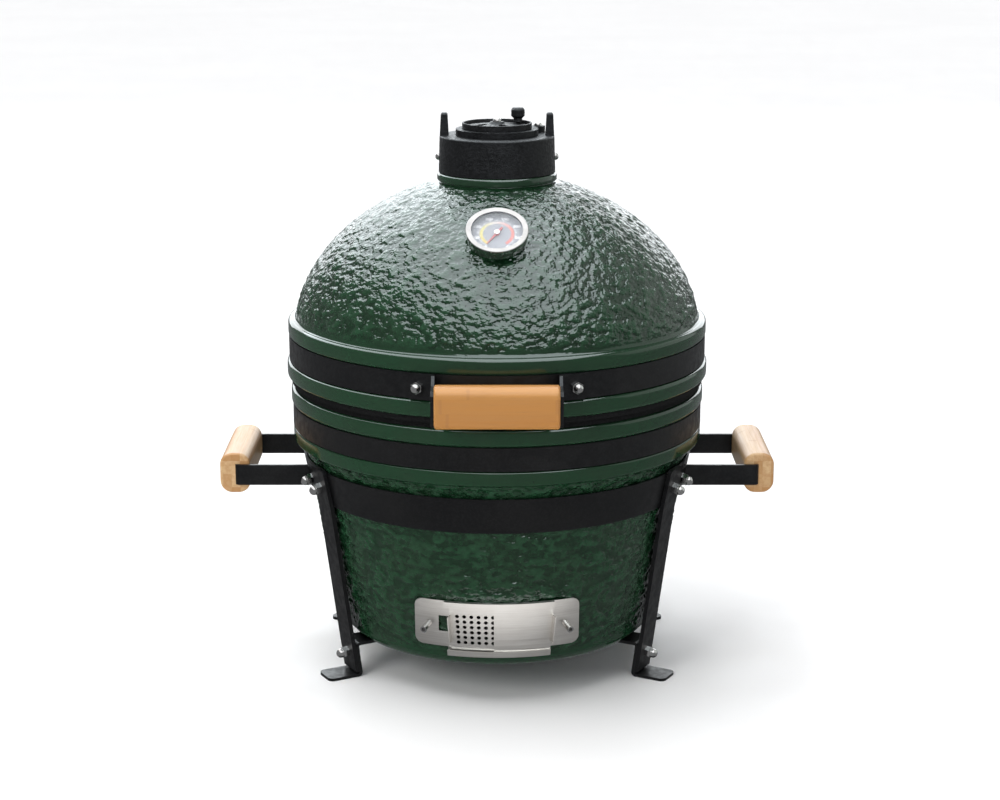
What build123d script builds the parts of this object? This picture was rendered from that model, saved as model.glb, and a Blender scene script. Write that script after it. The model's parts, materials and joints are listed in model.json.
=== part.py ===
from build123d import *
import os
from math import acos, asin, atan, atan2, cos, degrees, pi, radians, sin, sqrt

# Compact ceramic egg-shaped charcoal grill on a four-legged stand.
# Millimetres. +Z up, origin on the body axis at ground level, front of the grill towards -Y.

# ---- general clearances -------------------------------------------------------------------
SLIDE_GAP = 0.3          # between plates that move over each other
PIN_GAP = 0.06           # radial, pin turning in a hole
SEAT_GAP = 0.05          # flat part held against a curved one

# ---- lid ----------------------------------------------------------------------------------
SEAM = 295.0             # height of the lid's lower edge
LID_R = 210.0            # lower rim ridge
RIM_H = 16.0             # height of the lower rim ridge
GROOVE_H = 26.0          # height of the band groove in the lid
UPPER_H = 15.0           # height of the upper ridge
LID_GROOVE_R = LID_R - 4.2
UPPER_R = LID_R - 1.5
DOME_R = 202.4           # dome superellipse: radius, height, exponent, base height
DOME_H = 154.5
DOME_POWER = 1.9
DOME_BASE = SEAM + 45.2
LID_WALL = 17.0
NECK_R = 59.0
NECK_BASE = SEAM + 191.0
NECK_TOP = SEAM + 200.0
STUB_R = 51.4            # ceramic neck inside the vent collar
STUB_TOP = SEAM + 221.0
THROAT_R = 40.0

# ---- base ---------------------------------------------------------------------------------
SEAM_GAP = 11.0          # both felts together with their gap
FELT_T = (SEAM_GAP - SLIDE_GAP) / 2
BASE_TOP = SEAM - SEAM_GAP
BASE_R = LID_R - 3.5
BASE_RIM_H = 16.0
BASE_GROOVE_H = 24.0
BASE_LOWER_H = 14.0
BASE_GROOVE_R = BASE_R - 3.5
BASE_WALL = 18.0
BASE_BOTTOM = 36.0
CONE_TOP = 110.0         # straight lower part of the base
CONE_TOP_R = 174.8
CONE_BOTTOM = 47.0
CONE_BOTTOM_R = 160.5
CONE_SLOPE = (CONE_TOP_R - CONE_BOTTOM_R) / (CONE_TOP - CONE_BOTTOM)
FLOOR_T = 19.0

# ---- bands --------------------------------------------------------------------------------
BAND_T = 2.2
BAND_PLAY = 0.8          # band edge to groove edge

# ---- stand --------------------------------------------------------------------------------
RING_TOP = SEAM - 80.0
RING_H = 35.0
RING_R = 195.5           # outer radius at its top
RING_SLOPE = 0.2         # radius lost per millimetre of height
RING_T = 2.2
RING_BOTTOM = RING_TOP - RING_H
LEG_AZ = 28.5            # from the X axis
LEG_W = 28.0
LEG_T = 4.0
FOOT_T = 3.0
FOOT_LEN = 33.0
LEG_FOOT_R = 163.2       # inner face of the leg at its lower end
LEG_TOP = RING_TOP + 3.0
LEG_BEND = RING_BOTTOM - 3.0
LEG_LIFT = 2.2           # leg end above the foot plate, clear of its bend
STUD_R = 3.0             # M6 studs, screws and the hinge pin

# ---- side handles -------------------------------------------------------------------------
STRAP_Y = 60.0           # centre of the strap's arms
STRAP_T = 3.0
STRAP_H = 20.5
STRAP_TOP = SEAM - 83.5
STRAP_X = 258.5          # centre of the strap's outer run
STRAP_BEND = 4.0
TAB_LEN = 19.0
GRIP_X0 = 245.0
GRIP_D = 30.0
GRIP_LEN = 2 * STRAP_Y - STRAP_T - 1.0
GRIP_TALL = 40.5
GRIP_ROUND = 12.0

# ---- front handle -------------------------------------------------------------------------
FRONT_LEN = 114.0
FRONT_D = 22.0
FRONT_FACE = LID_R + 33       # distance of its front face from the body axis
FRONT_BOTTOM = SEAM - 2.0
FRONT_ROUND = 10.0
ARM_T = 3.0
TAB_W = 24.0

# ---- hinge --------------------------------------------------------------------------------
PIN_R = 3.0
HINGE_Y = LID_R + 19.0
HINGE_Z = SEAM - SEAM_GAP / 2
EYE_R = 9.3
CHEEK_T = 3.0
LID_CHEEK_X = 36.0       # inner face of the lid bracket's cheek
BASE_CHEEK_X = LID_CHEEK_X + CHEEK_T + 2.0
FLANGE_T = BAND_T
WIRE_R = 1.2
COIL_R = 5.4
COIL_TURNS = 9

# ---- top vent -----------------------------------------------------------------------------
COLLAR_R = 57.5
COLLAR_DRAFT = 1.0
COLLAR_BOTTOM = NECK_TOP + 0.4
COLLAR_TOP = SEAM + 236.0
COLLAR_BORE = STUB_R + 0.6
DECK_T = 12.0
OUTLET_R = 34.0
POST_TALL = 22.0
PLATE_R = 40.6
PLATE_T = 6.0
PLATE_BOTTOM = COLLAR_TOP + SLIDE_GAP
PLATE_TOP = PLATE_BOTTOM + PLATE_T
PIVOT_X = 40.7
PIVOT_Y = 23.5
WHEEL_R = 34.3
WHEEL_T = 3.2
WHEEL_BOTTOM = PLATE_TOP + SLIDE_GAP
WHEEL_RIM = 2.4
PETALS = 4
KNOB_R = 26.9            # knob centre from the wheel centre
KNOB_AZ = 39.8
SCREW_R = 2.5

# ---- thermometer --------------------------------------------------------------------------
GAUGE_Z = SEAM + 156.0   # where its axis leaves the dome
GAUGE_R = 29.3
CASE_R = 28.0
CASE_LIFT = 0.8
CASE_TOP = 9.8
GLASS_T = 1.0
BEZEL_TOP = 12.2
WINDOW_R = 24.2
DIAL_LIFT = 4.8
DIAL_T = 0.8
NEEDLE_AZ = 214.0        # clockwise from the top of the dial
BUSH_R = 6.0
PROBE_R = 3.0
PROBE_LEN = 75.0
SEAT_DEPTH = 13.5        # flat inside the dome for the nut

# ---- draught door -------------------------------------------------------------------------
FRAME_T = 1.2
FRAME_LIFT = 0.3
SHEET_T = 1.0
EAR_X = 79.0
EAR_TOP = SEAM - 188.0
EAR_H = 50.0
EAR_ROUND = 8.0
RAIL_X0 = -50.0
RAIL_X1 = 54.0
RAIL_BOTTOM = SEAM - 246.5
LIP_H = 6.0
DOOR_X0 = -3.0
WINDOW_X = 42.0
INLET_X1 = 3.0           # the frame is open to the left of this, solid to the right
WINDOW_TOP = SEAM - 197.0
WINDOW_BOTTOM = SEAM - 237.0
WINDOW_DEPTH = 50.0          # clears the rounded foot of the wall
HOLE_R = 1.9
HOLE_ROWS = 6
HOLE_COLS = 7

# Dome nuts and their studs
NUT_FLATS = 10.0
NUT_TALL = 12.0
STUD_OUT = NUT_TALL * 0.7

# Clamp bolts of the two bands
LID_BOLT_Y = LID_R + 4.5
BASE_BOLT_Y = BASE_R + 4.5

# Draught door's screws and pull tabs
DOOR_SCREW_X = 67.5
SLEEVE_R = 3.3
SLEEVE_LEN = 13.0
TAB_OUT = 9.0
TAB_TALL = 28.0

# Firebox, fire ring and grates
FLOOR = BASE_BOTTOM + FLOOR_T
BOX_T = 14.0
BOX_R = 126.0
BOX_SHELF = SEAM - 206.0
BOX_TOP = SEAM - 112.0
BOX_TOP_R = 158.0
AIR_HOLES = 10
COAL_R = 104.0
SLOT_PITCH = 19.0
GRATE_R = 162.0
GRATE_T = 5.0
GRATE_BAR = 2.0
GRATE_PITCH = 13.0

# Crossbars
BAR_MID = BASE_BOTTOM - FOOT_T / 2
DIP_IN = LEG_W / 2 / sin(radians(LEG_AZ)) + 5
DIP_OUT = DIP_IN + 8

# Front grip's end screws and the damper plate's slots
END_SCREW_R = 2.0
PETAL_SHIFT = 24.0       # the plate's slots lie this far round from the wheel's

BASE = (Align.CENTER, Align.CENTER, Align.MIN)
nodes = {}


def face_of(points):
    return make_face(Polyline(*points, close=True))


def rounded(face, corners, radius):
    """Rounds the corners of a flat face that lie nearest to the given points."""
    picked = [face.vertices().sort_by_distance(Vector(x, y, 0))[0] for x, y in corners]
    return fillet(picked, radius)


def turned(face):
    """Turns a (radius, height) face about the body axis."""
    return revolve(Plane.XZ * face, Axis.Z)


def sector(points, start, end):
    """Turns a closed (radius, height) outline about the body axis between two azimuths."""
    return Rot(0, 0, start) * revolve(Plane.XZ * face_of(points), Axis.Z, end - start)


def hoop(r_in, r_out, z_low, z_high, start=0, end=360):
    return sector([(r_in, z_low), (r_out, z_low), (r_out, z_high), (r_in, z_high)], start, end)


def rod(radius, low, high):
    return Pos(0, 0, low) * Cylinder(radius, high - low, align=BASE)


def bent_strip(points, bend, thickness, width):
    """Flat strip whose middle line follows the points in the XZ plane, centred on Y."""
    path = FilletPolyline(*points, radius=bend)
    return extrude(Plane.XZ * trace(path, line_width=thickness), width / 2, both=True)


def acorn_nut(bore, flats, height):
    """Domed nut standing on Z = 0 with a blind hole."""
    hexagon = extrude(RegularPolygon(flats / 2, 6, major_radius=False), height * 0.5)
    cap_r = flats * 0.47
    cap = rod(cap_r, 0, height - cap_r) + Pos(0, 0, height - cap_r) * Sphere(cap_r)
    cap = cap & rod(cap_r, 0, height)
    return hexagon + cap - rod(bore, 0, height * 0.72)


def stud(radius, low, high):
    return chamfer(rod(radius, low, high).edges().sort_by(Axis.Z)[-1], radius * 0.25)


def hex_head(flats, height):
    return extrude(RegularPolygon(flats / 2, 6, major_radius=False), height)


def held_by_nut(grip):
    """Stud from Z = 0 through a grip length, and the domed nut on it."""
    return stud(STUD_R, 0, grip + STUD_OUT), Pos(0, 0, grip) * acorn_nut(STUD_R, NUT_FLATS, NUT_TALL)


def outward(azimuth, radius, height, tilt=0):
    """Frame whose Z points away from the body axis, tipped down by the tilt angle."""
    return Rot(0, 0, azimuth) * Pos(radius, 0, height) * Rot(0, 90 + tilt, 0)


# ---- lid ----------------------------------------------------------------------------------
def dome_radius(radius, rise, height):
    share = min(1.0, max(0.0, (height - DOME_BASE) / rise))
    return radius * (1 - share ** DOME_POWER) ** (1 / DOME_POWER)


def dome_height(radius, rise, at_radius):
    return DOME_BASE + rise * (1 - (at_radius / radius) ** DOME_POWER) ** (1 / DOME_POWER)


def dome_curve(radius, rise, from_z, to_r):
    """Points of the dome's outline from one height up to one radius."""
    to_z = dome_height(radius, rise, to_r)
    first = asin((from_z - DOME_BASE) / rise)
    last = asin((to_z - DOME_BASE) / rise)
    heights = [DOME_BASE + rise * sin(first + (last - first) * k / 10) for k in range(11)]
    return [(dome_radius(radius, rise, z), z) for z in heights]


rim_top = SEAM + RIM_H
groove_top = rim_top + GROOVE_H
ridge_top = groove_top + UPPER_H
dome_outer = dome_curve(DOME_R, DOME_H, ridge_top, NECK_R - 2)
inner_r = DOME_R - LID_WALL
inner_rise = DOME_H - LID_WALL + 2
dome_inner = dome_curve(inner_r, inner_rise, DOME_BASE, THROAT_R)
lid_edge = Polyline(
    dome_inner[0],
    (inner_r, SEAM),
    (LID_R, SEAM),
    (LID_R, rim_top),
    (LID_GROOVE_R, rim_top),
    (LID_GROOVE_R, groove_top),
    (UPPER_R, groove_top),
    (UPPER_R, ridge_top),
    dome_outer[0],
)
neck_edge = Polyline(
    dome_outer[-1],
    (NECK_R, NECK_BASE),
    (NECK_R, NECK_TOP),
    (STUB_R, NECK_TOP),
    (STUB_R, STUB_TOP),
    (THROAT_R, STUB_TOP),
    dome_inner[-1],
)
lid_curves = [*Spline(*dome_outer).edges(), *Spline(*dome_inner).edges()]
lid_face = make_face([*lid_edge.edges(), *neck_edge.edges(), *lid_curves])
lid_face = rounded(lid_face, [(LID_R, SEAM), (LID_R, rim_top)], 3.5)
lid_face = rounded(lid_face, [(UPPER_R, ridge_top)], 4.0)
lid_face = rounded(lid_face, [(UPPER_R, groove_top)], 2.0)
lid_face = rounded(lid_face, [(NECK_R, NECK_TOP)], 3.0)
lid_dome = turned(lid_face)

# The gauge stands square to the dome on its front.
gauge_r = dome_radius(DOME_R, DOME_H, GAUGE_Z)
gauge_share = (GAUGE_Z - DOME_BASE) / DOME_H
gauge_tilt = degrees(
    atan2(gauge_share ** (DOME_POWER - 1) / DOME_H, (gauge_r / DOME_R) ** (DOME_POWER - 1) / DOME_R)
)
gauge = Rot(0, 0, -90) * Pos(gauge_r, 0, GAUGE_Z) * Rot(0, 90 - gauge_tilt, 0) * Rot(0, 0, 90)
lid_dome -= gauge * rod(BUSH_R + 0.4, -40, 20)
lid_dome -= gauge * rod(12.5, -60, -SEAT_DEPTH)
nodes["lid_dome"] = lid_dome
nodes["lid_felt"] = hoop(inner_r + 1, LID_R - 3.8, SEAM - FELT_T, SEAM)

# ---- steel bands, open at the back where the hinge brackets sit ---------------------------
def cheek_az(x, radius):
    return degrees(asin(x / radius))


def band(r_in, z_low, z_high, end_x, flange_len):
    """Band with its ends turned outwards beside the hinge bracket."""
    half = cheek_az(end_x, r_in)
    body = hoop(r_in, r_in + BAND_T, z_low, z_high, 90 + half, 450 - half)
    y_in = sqrt((r_in + BAND_T) ** 2 - end_x ** 2)
    flange = Box(FLANGE_T, flange_len + 3, z_high - z_low, align=(Align.MIN, Align.MIN, Align.MIN))
    flange = Pos(end_x, y_in - 3, z_low) * flange - rod(r_in, z_low - 1, z_high + 1)
    return body + flange + mirror(flange, Plane.YZ)


lid_band_low = rim_top + BAND_PLAY
lid_band_high = groove_top - BAND_PLAY
lid_flange_x = LID_CHEEK_X + CHEEK_T
lid_bolt_z = (lid_band_low + lid_band_high) / 2
base_groove_top = BASE_TOP - BASE_RIM_H
base_groove_bottom = base_groove_top - BASE_GROOVE_H
base_band_high = base_groove_top - BAND_PLAY
base_band_low = base_groove_bottom + BAND_PLAY
base_flange_x = BASE_CHEEK_X + CHEEK_T
base_bolt_z = (base_band_low + base_band_high) / 2


def along_x(x, y, z):
    """Frame whose Z points along +X."""
    return Pos(x, y, z) * Rot(0, 90, 0)


def both_sides(solid):
    return [solid, mirror(solid, Plane.YZ)]


lid_bolt_hole = along_x(0, LID_BOLT_Y, lid_bolt_z) * rod(STUD_R, -60, 60)
base_bolt_hole = along_x(0, BASE_BOLT_Y, base_bolt_z) * rod(STUD_R, -60, 60)
nodes["lid_band"] = band(LID_GROOVE_R, lid_band_low, lid_band_high, lid_flange_x, 17) - lid_bolt_hole
nodes["base_band"] = band(BASE_GROOVE_R, base_band_low, base_band_high, base_flange_x, 17) - base_bolt_hole


def clamp_set(cheek_x, flange_x, y, z):
    """Bolt through cheek and flange, head inside, and its domed nut outside."""
    head = along_x(cheek_x - 4, y, z) * hex_head(NUT_FLATS, 4)
    bolt = head + along_x(0, y, z) * stud(STUD_R, cheek_x - 1, flange_x + FLANGE_T + STUD_OUT)
    nut = along_x(flange_x + FLANGE_T, y, z) * acorn_nut(STUD_R, NUT_FLATS, NUT_TALL)
    return bolt, nut


bolt, nut = clamp_set(LID_CHEEK_X, lid_flange_x, LID_BOLT_Y, lid_bolt_z)
nodes["lid_clamp_bolts"] = both_sides(bolt)
nodes["lid_clamp_nuts"] = both_sides(nut)
bolt, nut = clamp_set(BASE_CHEEK_X, base_flange_x, BASE_BOLT_Y, base_bolt_z)
nodes["base_clamp_bolts"] = both_sides(bolt)
nodes["base_clamp_nuts"] = both_sides(nut)

# ---- hinge --------------------------------------------------------------------------------
def cheek(x, outline, hole_r):
    """Hinge cheek in the YZ plane with an eye round the hinge axis."""
    eye = Pos(HINGE_Y, HINGE_Z) * Circle(EYE_R)
    face = face_of(outline) + eye - Pos(HINGE_Y, HINGE_Z) * Circle(hole_r)
    return extrude(Plane.YZ.offset(x) * face, CHEEK_T)


lid_cheek = cheek(
    LID_CHEEK_X,
    [
        (LID_GROOVE_R - 2.8, lid_band_high),
        (LID_R + 9, lid_band_high),
        (HINGE_Y + EYE_R, HINGE_Z + 1),
        (HINGE_Y - EYE_R, HINGE_Z),
        (LID_R + 0.5, rim_top - 1),
        (LID_R + 0.5, lid_band_low),
        (LID_GROOVE_R - 2.8, lid_band_low),
    ],
    PIN_R + PIN_GAP,
)
base_cheek = cheek(
    BASE_CHEEK_X,
    [
        (BASE_GROOVE_R - 3.8, base_band_low),
        (BASE_R + 10, base_band_low),
        (HINGE_Y + EYE_R, HINGE_Z - 2),
        (HINGE_Y - EYE_R, HINGE_Z),
        (BASE_R + 1, base_groove_top + 2),
        (BASE_R + 1, base_band_high),
        (BASE_GROOVE_R - 3.8, base_band_high),
    ],
    PIN_R,
)


def bracket(cheek_solid, r_in, z_low, z_high, reach, hole):
    half = cheek_az(reach - 0.2, r_in + BAND_T)
    back = hoop(r_in, r_in + BAND_T, z_low, z_high, 90 - half, 90 + half)
    core = rod(r_in, z_low - 5, z_high + 5)
    side = cheek_solid - core
    return back + side + mirror(side, Plane.YZ) - hole


nodes["hinge_lid_bracket"] = bracket(
    lid_cheek, LID_GROOVE_R, lid_band_low, lid_band_high, lid_flange_x, lid_bolt_hole
)
nodes["hinge_base_bracket"] = bracket(
    base_cheek, BASE_GROOVE_R, base_band_low, base_band_high, base_flange_x, base_bolt_hole
)
pin_end = base_flange_x + STUD_OUT
nodes["hinge_pin"] = along_x(0, HINGE_Y, HINGE_Z) * rod(PIN_R, -pin_end, pin_end)
nodes["hinge_pin_nuts"] = both_sides(
    along_x(base_flange_x, HINGE_Y, HINGE_Z) * acorn_nut(PIN_R, NUT_FLATS, NUT_TALL)
)


def spring():
    """Torsion spring round the pin, one leg on the lid bracket and one on the base bracket."""
    to_base = (BASE_GROOVE_R + BAND_T + WIRE_R + 1.0 - HINGE_Y, base_bolt_z - HINGE_Z)
    to_lid = (LID_GROOVE_R + BAND_T + WIRE_R + 1.2 - HINGE_Y, lid_bolt_z - HINGE_Z)
    reach_base = sqrt(to_base[0] ** 2 + to_base[1] ** 2)
    reach_lid = sqrt(to_lid[0] ** 2 + to_lid[1] ** 2)
    leave = atan2(to_base[1], to_base[0]) % (2 * pi) - acos(COIL_R / reach_base)
    enter = atan2(to_lid[1], to_lid[0]) % (2 * pi) + acos(COIL_R / reach_lid)
    turns = COIL_TURNS + (leave - enter) / (2 * pi)
    x_first = 5.0
    x_last = LID_CHEEK_X - 4.0
    pitch = (x_last - x_first) / turns
    helix = Helix(pitch, x_last - x_first, COIL_R)
    coil = sweep(Plane(origin=helix @ 0, z_dir=helix % 0) * Circle(WIRE_R), path=helix, is_frenet=True)
    # The helix starts on local +X and climbs local +Z; lay it along the pin.
    lay = Plane(origin=(x_first, HINGE_Y, HINGE_Z), x_dir=(0, cos(enter), sin(enter)), z_dir=(1, 0, 0))
    coil = lay * coil
    start = Vector(x_first, HINGE_Y + COIL_R * cos(enter), HINGE_Z + COIL_R * sin(enter))
    finish = Vector(x_last, HINGE_Y + COIL_R * cos(leave), HINGE_Z + COIL_R * sin(leave))
    legs = []
    for end, target in ((start, to_lid), (finish, to_base)):
        tip = Vector(end.X, HINGE_Y + target[0], HINGE_Z + target[1])
        run = tip - end
        leg = Plane(origin=end, z_dir=run) * rod(WIRE_R, -0.4, run.length)
        legs.append(leg + Pos(*end) * Sphere(WIRE_R + 0.05))
    return coil + legs[0] + legs[1]


right_spring = spring()
nodes["hinge_spring_right"] = right_spring
nodes["hinge_spring_left"] = mirror(right_spring, Plane.YZ)

# ---- base ---------------------------------------------------------------------------------
lower_top = base_groove_bottom
lower_bottom = lower_top - BASE_LOWER_H
shoulder_r = BASE_R - 5.0
ring_inner = RING_R - RING_T - SLIDE_GAP
waist = [
    (shoulder_r, lower_bottom),
    (ring_inner, RING_TOP),
    (ring_inner - RING_H * RING_SLOPE, RING_BOTTOM),
    (CONE_TOP_R, CONE_TOP),
]
waist_curve = Spline(*waist, tangents=[(-0.45, -1), (-CONE_SLOPE, -1)])
base_edge = Polyline(
    (CONE_TOP_R, CONE_TOP),
    (CONE_BOTTOM_R, CONE_BOTTOM),
    (CONE_BOTTOM_R - 10, BASE_BOTTOM),
    (0, BASE_BOTTOM),
    (0, BASE_BOTTOM + FLOOR_T),
    (CONE_BOTTOM_R - BASE_WALL - 12, BASE_BOTTOM + FLOOR_T),
    (CONE_BOTTOM_R - BASE_WALL + 2, BASE_BOTTOM + FLOOR_T + 14),
    (CONE_TOP_R - BASE_WALL, CONE_TOP),
    (BASE_R - BASE_WALL - 3, lower_bottom),
    (BASE_R - BASE_WALL - 1, BASE_TOP),
    (BASE_R, BASE_TOP),
    (BASE_R, base_groove_top),
    (BASE_GROOVE_R, base_groove_top),
    (BASE_GROOVE_R, base_groove_bottom),
    (BASE_R - 1.5, base_groove_bottom),
    (BASE_R - 1.5, lower_bottom),
    (shoulder_r, lower_bottom),
)
base_face = make_face([*waist_curve.edges(), *base_edge.edges()])
base_face = rounded(base_face, [(BASE_R, BASE_TOP), (BASE_R, base_groove_top)], 3.5)
base_face = rounded(base_face, [(BASE_R - 1.5, base_groove_bottom)], 2.0)
base_face = rounded(base_face, [(BASE_R - 1.5, lower_bottom)], 2.5)
base_face = rounded(base_face, [(CONE_BOTTOM_R, CONE_BOTTOM), (CONE_BOTTOM_R - 10, BASE_BOTTOM)], 5.0)
base_shell = turned(base_face)
window_h = WINDOW_TOP - WINDOW_BOTTOM
window_mid = (WINDOW_TOP + WINDOW_BOTTOM) / 2
window_cut = Pos(0, -CONE_TOP_R, window_mid) * Box(2 * WINDOW_X, 2 * WINDOW_DEPTH, window_h)
base_shell -= window_cut


def cone_r(z):
    """Radius of the straight lower part of the base."""
    return CONE_TOP_R + (z - CONE_TOP) * CONE_SLOPE


def on_cone(lift, thickness, z_low, z_high, start, end):
    """Sheet that follows the straight lower part of the base, between two azimuths."""
    return sector(
        [
            (cone_r(z_low) + lift, z_low),
            (cone_r(z_low) + lift + thickness, z_low),
            (cone_r(z_high) + lift + thickness, z_high),
            (cone_r(z_high) + lift, z_high),
        ],
        start,
        end,
    )


def front_az(x):
    return 270 + degrees(asin(x / CONE_TOP_R))


door_tilt = degrees(atan(CONE_SLOPE))
door_screw_z = EAR_TOP - EAR_H * 0.52
door_screw_frames = [
    outward(front_az(x), cone_r(door_screw_z) + FRAME_LIFT, door_screw_z, door_tilt)
    for x in (-DOOR_SCREW_X, DOOR_SCREW_X)
]
for spot in door_screw_frames:
    base_shell -= spot * rod(2.0, -12, 6)
nodes["base_shell"] = base_shell
nodes["base_felt"] = hoop(BASE_R - BASE_WALL, BASE_R - 3.8, BASE_TOP, BASE_TOP + FELT_T)

# ---- draught door -------------------------------------------------------------------------
ear_mid = EAR_TOP - EAR_H / 2
ears = extrude(Pos(0, ear_mid) * RectangleRounded(2 * EAR_X, EAR_H, EAR_ROUND), 250)
ears = Plane.XZ * ears
sheet = on_cone(FRAME_LIFT, FRAME_T, RAIL_BOTTOM, EAR_TOP, 235, 305)
rail_az0 = front_az(RAIL_X0)
rail_az1 = front_az(RAIL_X1)
rail_back = on_cone(FRAME_LIFT, FRAME_T, RAIL_BOTTOM, EAR_TOP, rail_az0, rail_az1)
screen_lift = FRAME_LIFT + FRAME_T + SLIDE_GAP
door_lift = screen_lift + SHEET_T + SLIDE_GAP
lip_lift = door_lift + SHEET_T + SLIDE_GAP
web_lift = FRAME_LIFT + FRAME_T
web_depth = lip_lift + FRAME_T - web_lift
draft_frame = (sheet & ears) + rail_back
for low, high, lip_low, lip_high in (
    (EAR_TOP - FRAME_T, EAR_TOP, EAR_TOP - LIP_H, EAR_TOP),
    (RAIL_BOTTOM, RAIL_BOTTOM + FRAME_T, RAIL_BOTTOM, RAIL_BOTTOM + LIP_H),
):
    draft_frame += on_cone(web_lift - 0.1, web_depth + 0.1, low, high, rail_az0, rail_az1)
    draft_frame += on_cone(lip_lift, FRAME_T, lip_low, lip_high, rail_az0, rail_az1)
inlet_x0 = -WINDOW_X - 1
inlet_w = INLET_X1 - inlet_x0
frame_window = extrude(Pos(inlet_x0 + inlet_w / 2, window_mid) * Rectangle(inlet_w, window_h - 2), 250)
frame_notch = extrude(Pos(inlet_x0 - 4, window_mid + 4) * Rectangle(18, 17), 250)
draft_frame -= Plane.XZ * (frame_window + frame_notch)
for spot in door_screw_frames:
    draft_frame -= spot * rod(2.0, -2, 6)
nodes["draft_frame"] = draft_frame

door_screw = stud(2.0, 0, 12)
door_screw = mirror(door_screw, Plane.XY) + rod(2.0, 0, FRAME_T)
door_screw += rod(SLEEVE_R, FRAME_T, FRAME_T + SLEEVE_LEN)
door_screw -= Pos(0, 0, FRAME_T + SLEEVE_LEN - 5) * hex_head(3.6, 6)
nodes["draft_screws"] = [spot * door_screw for spot in door_screw_frames]

sheet_low = RAIL_BOTTOM + FRAME_T + 0.5
sheet_high = EAR_TOP - FRAME_T - 0.5


def pull_tab(lift, x_edge, side):
    """Finger tab bent out from a sheet's end."""
    low = window_mid - TAB_TALL / 2
    az = front_az(x_edge)
    width = degrees(SHEET_T / CONE_TOP_R)
    span = (az - width, az) if side > 0 else (az, az + width)
    return on_cone(lift, TAB_OUT, low, low + TAB_TALL, *span)


draft_door = on_cone(door_lift, SHEET_T, sheet_low, sheet_high, front_az(DOOR_X0), front_az(RAIL_X1))
nodes["draft_door"] = draft_door + pull_tab(door_lift, RAIL_X1, 1)
SCREEN_X0 = -46.0
SCREEN_X1 = 8.0
screen = on_cone(screen_lift, SHEET_T, sheet_low, sheet_high, front_az(SCREEN_X0), front_az(SCREEN_X1))
hole_pitch_z = (WINDOW_TOP - WINDOW_BOTTOM - 6) / HOLE_ROWS
hole_pitch_az = degrees(7.0 / CONE_TOP_R)
drills = []
for row in range(HOLE_ROWS):
    z = WINDOW_TOP - 4.5 - hole_pitch_z * (row + 0.5) + hole_pitch_z * 0.25
    for col in range(HOLE_COLS):
        az = front_az(SCREEN_X0 + 7.5) + col * hole_pitch_az
        drills.append(outward(az, cone_r(z), z, door_tilt) * rod(HOLE_R, -2, 8))
screen = screen - Compound(children=drills)
nodes["draft_screen"] = screen + pull_tab(screen_lift, SCREEN_X0, -1)

# ---- firebox and grates -------------------------------------------------------------------
firebox = turned(
    face_of(
        [
            (BOX_R - BOX_T, FLOOR),
            (BOX_R, FLOOR),
            (BOX_R + 6, BOX_SHELF + BOX_T),
            (BOX_TOP_R, BOX_TOP),
            (BOX_TOP_R - BOX_T, BOX_TOP),
            (BOX_R + 6 - BOX_T, BOX_SHELF + BOX_T),
            (72, BOX_SHELF + BOX_T),
            (72, BOX_SHELF),
            (BOX_R - BOX_T, BOX_SHELF),
        ]
    )
)
slot_h = BOX_SHELF - 4 - FLOOR
firebox -= Pos(0, -BOX_R, FLOOR) * Box(2 * WINDOW_X, 60, slot_h, align=BASE)
for k in range(AIR_HOLES):
    az = 360 / AIR_HOLES * (k + 0.5)
    firebox -= outward(az, BOX_R, BOX_SHELF + BOX_T + 22) * rod(8, -30, 50)
nodes["firebox"] = firebox
nodes["fire_ring"] = turned(
    rounded(
        face_of([(142, BOX_TOP), (160, BOX_TOP), (170, SEAM - 57), (152, SEAM - 57)]),
        [(170, SEAM - 57)],
        4,
    )
)
coal_grate = rod(COAL_R, BOX_SHELF + BOX_T, BOX_SHELF + BOX_T + 8)
for k in range(-4, 5):
    x = k * SLOT_PITCH
    length = 2 * sqrt((COAL_R - 14) ** 2 - x ** 2)
    slot = extrude(SlotOverall(length, 9), 20)
    coal_grate -= Pos(x, 0, BOX_SHELF + BOX_T - 5) * Rot(0, 0, 90) * slot
nodes["charcoal_grate"] = coal_grate

grate_bottom = SEAM - 57
bar_r = GRATE_R - 3.0
cooking_grate = hoop(GRATE_R - 6, GRATE_R, grate_bottom, grate_bottom + GRATE_T)
for k in range(-11, 12):
    x = k * GRATE_PITCH
    half = sqrt(bar_r ** 2 - x ** 2)
    cooking_grate += Pos(x, 0, grate_bottom + 2.8) * Rot(90, 0, 0) * Cylinder(GRATE_BAR, 2 * half)
for y in (-71.0, 71.0):
    half = sqrt(bar_r ** 2 - y ** 2)
    cooking_grate += Pos(0, y, grate_bottom + 2.2) * Rot(0, 90, 0) * Cylinder(GRATE_BAR, 2 * half)
nodes["cooking_grate"] = cooking_grate

# ---- stand --------------------------------------------------------------------------------
def ring_r(z):
    """Outer radius of the stand ring."""
    return RING_R - (RING_TOP - z) * RING_SLOPE


def on_ring(lift, thickness, z_low, z_high, start, end):
    return sector(
        [
            (ring_r(z_low) + lift, z_low),
            (ring_r(z_low) + lift + thickness, z_low),
            (ring_r(z_high) + lift + thickness, z_high),
            (ring_r(z_high) + lift, z_high),
        ],
        start,
        end,
    )


nodes["stand_ring"] = on_ring(-RING_T, RING_T, RING_BOTTOM, RING_TOP, 0, 360)
ring_tilt = degrees(atan(RING_SLOPE))
leg_slope = (ring_r(LEG_BEND) - LEG_FOOT_R) / (LEG_BEND - FOOT_T)
leg_tilt = degrees(atan(leg_slope))
half_leg = LEG_T / 2 / cos(radians(ring_tilt)) + SEAT_GAP


def leg_mid_r(z):
    return LEG_FOOT_R + (z - FOOT_T) * leg_slope + half_leg


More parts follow.
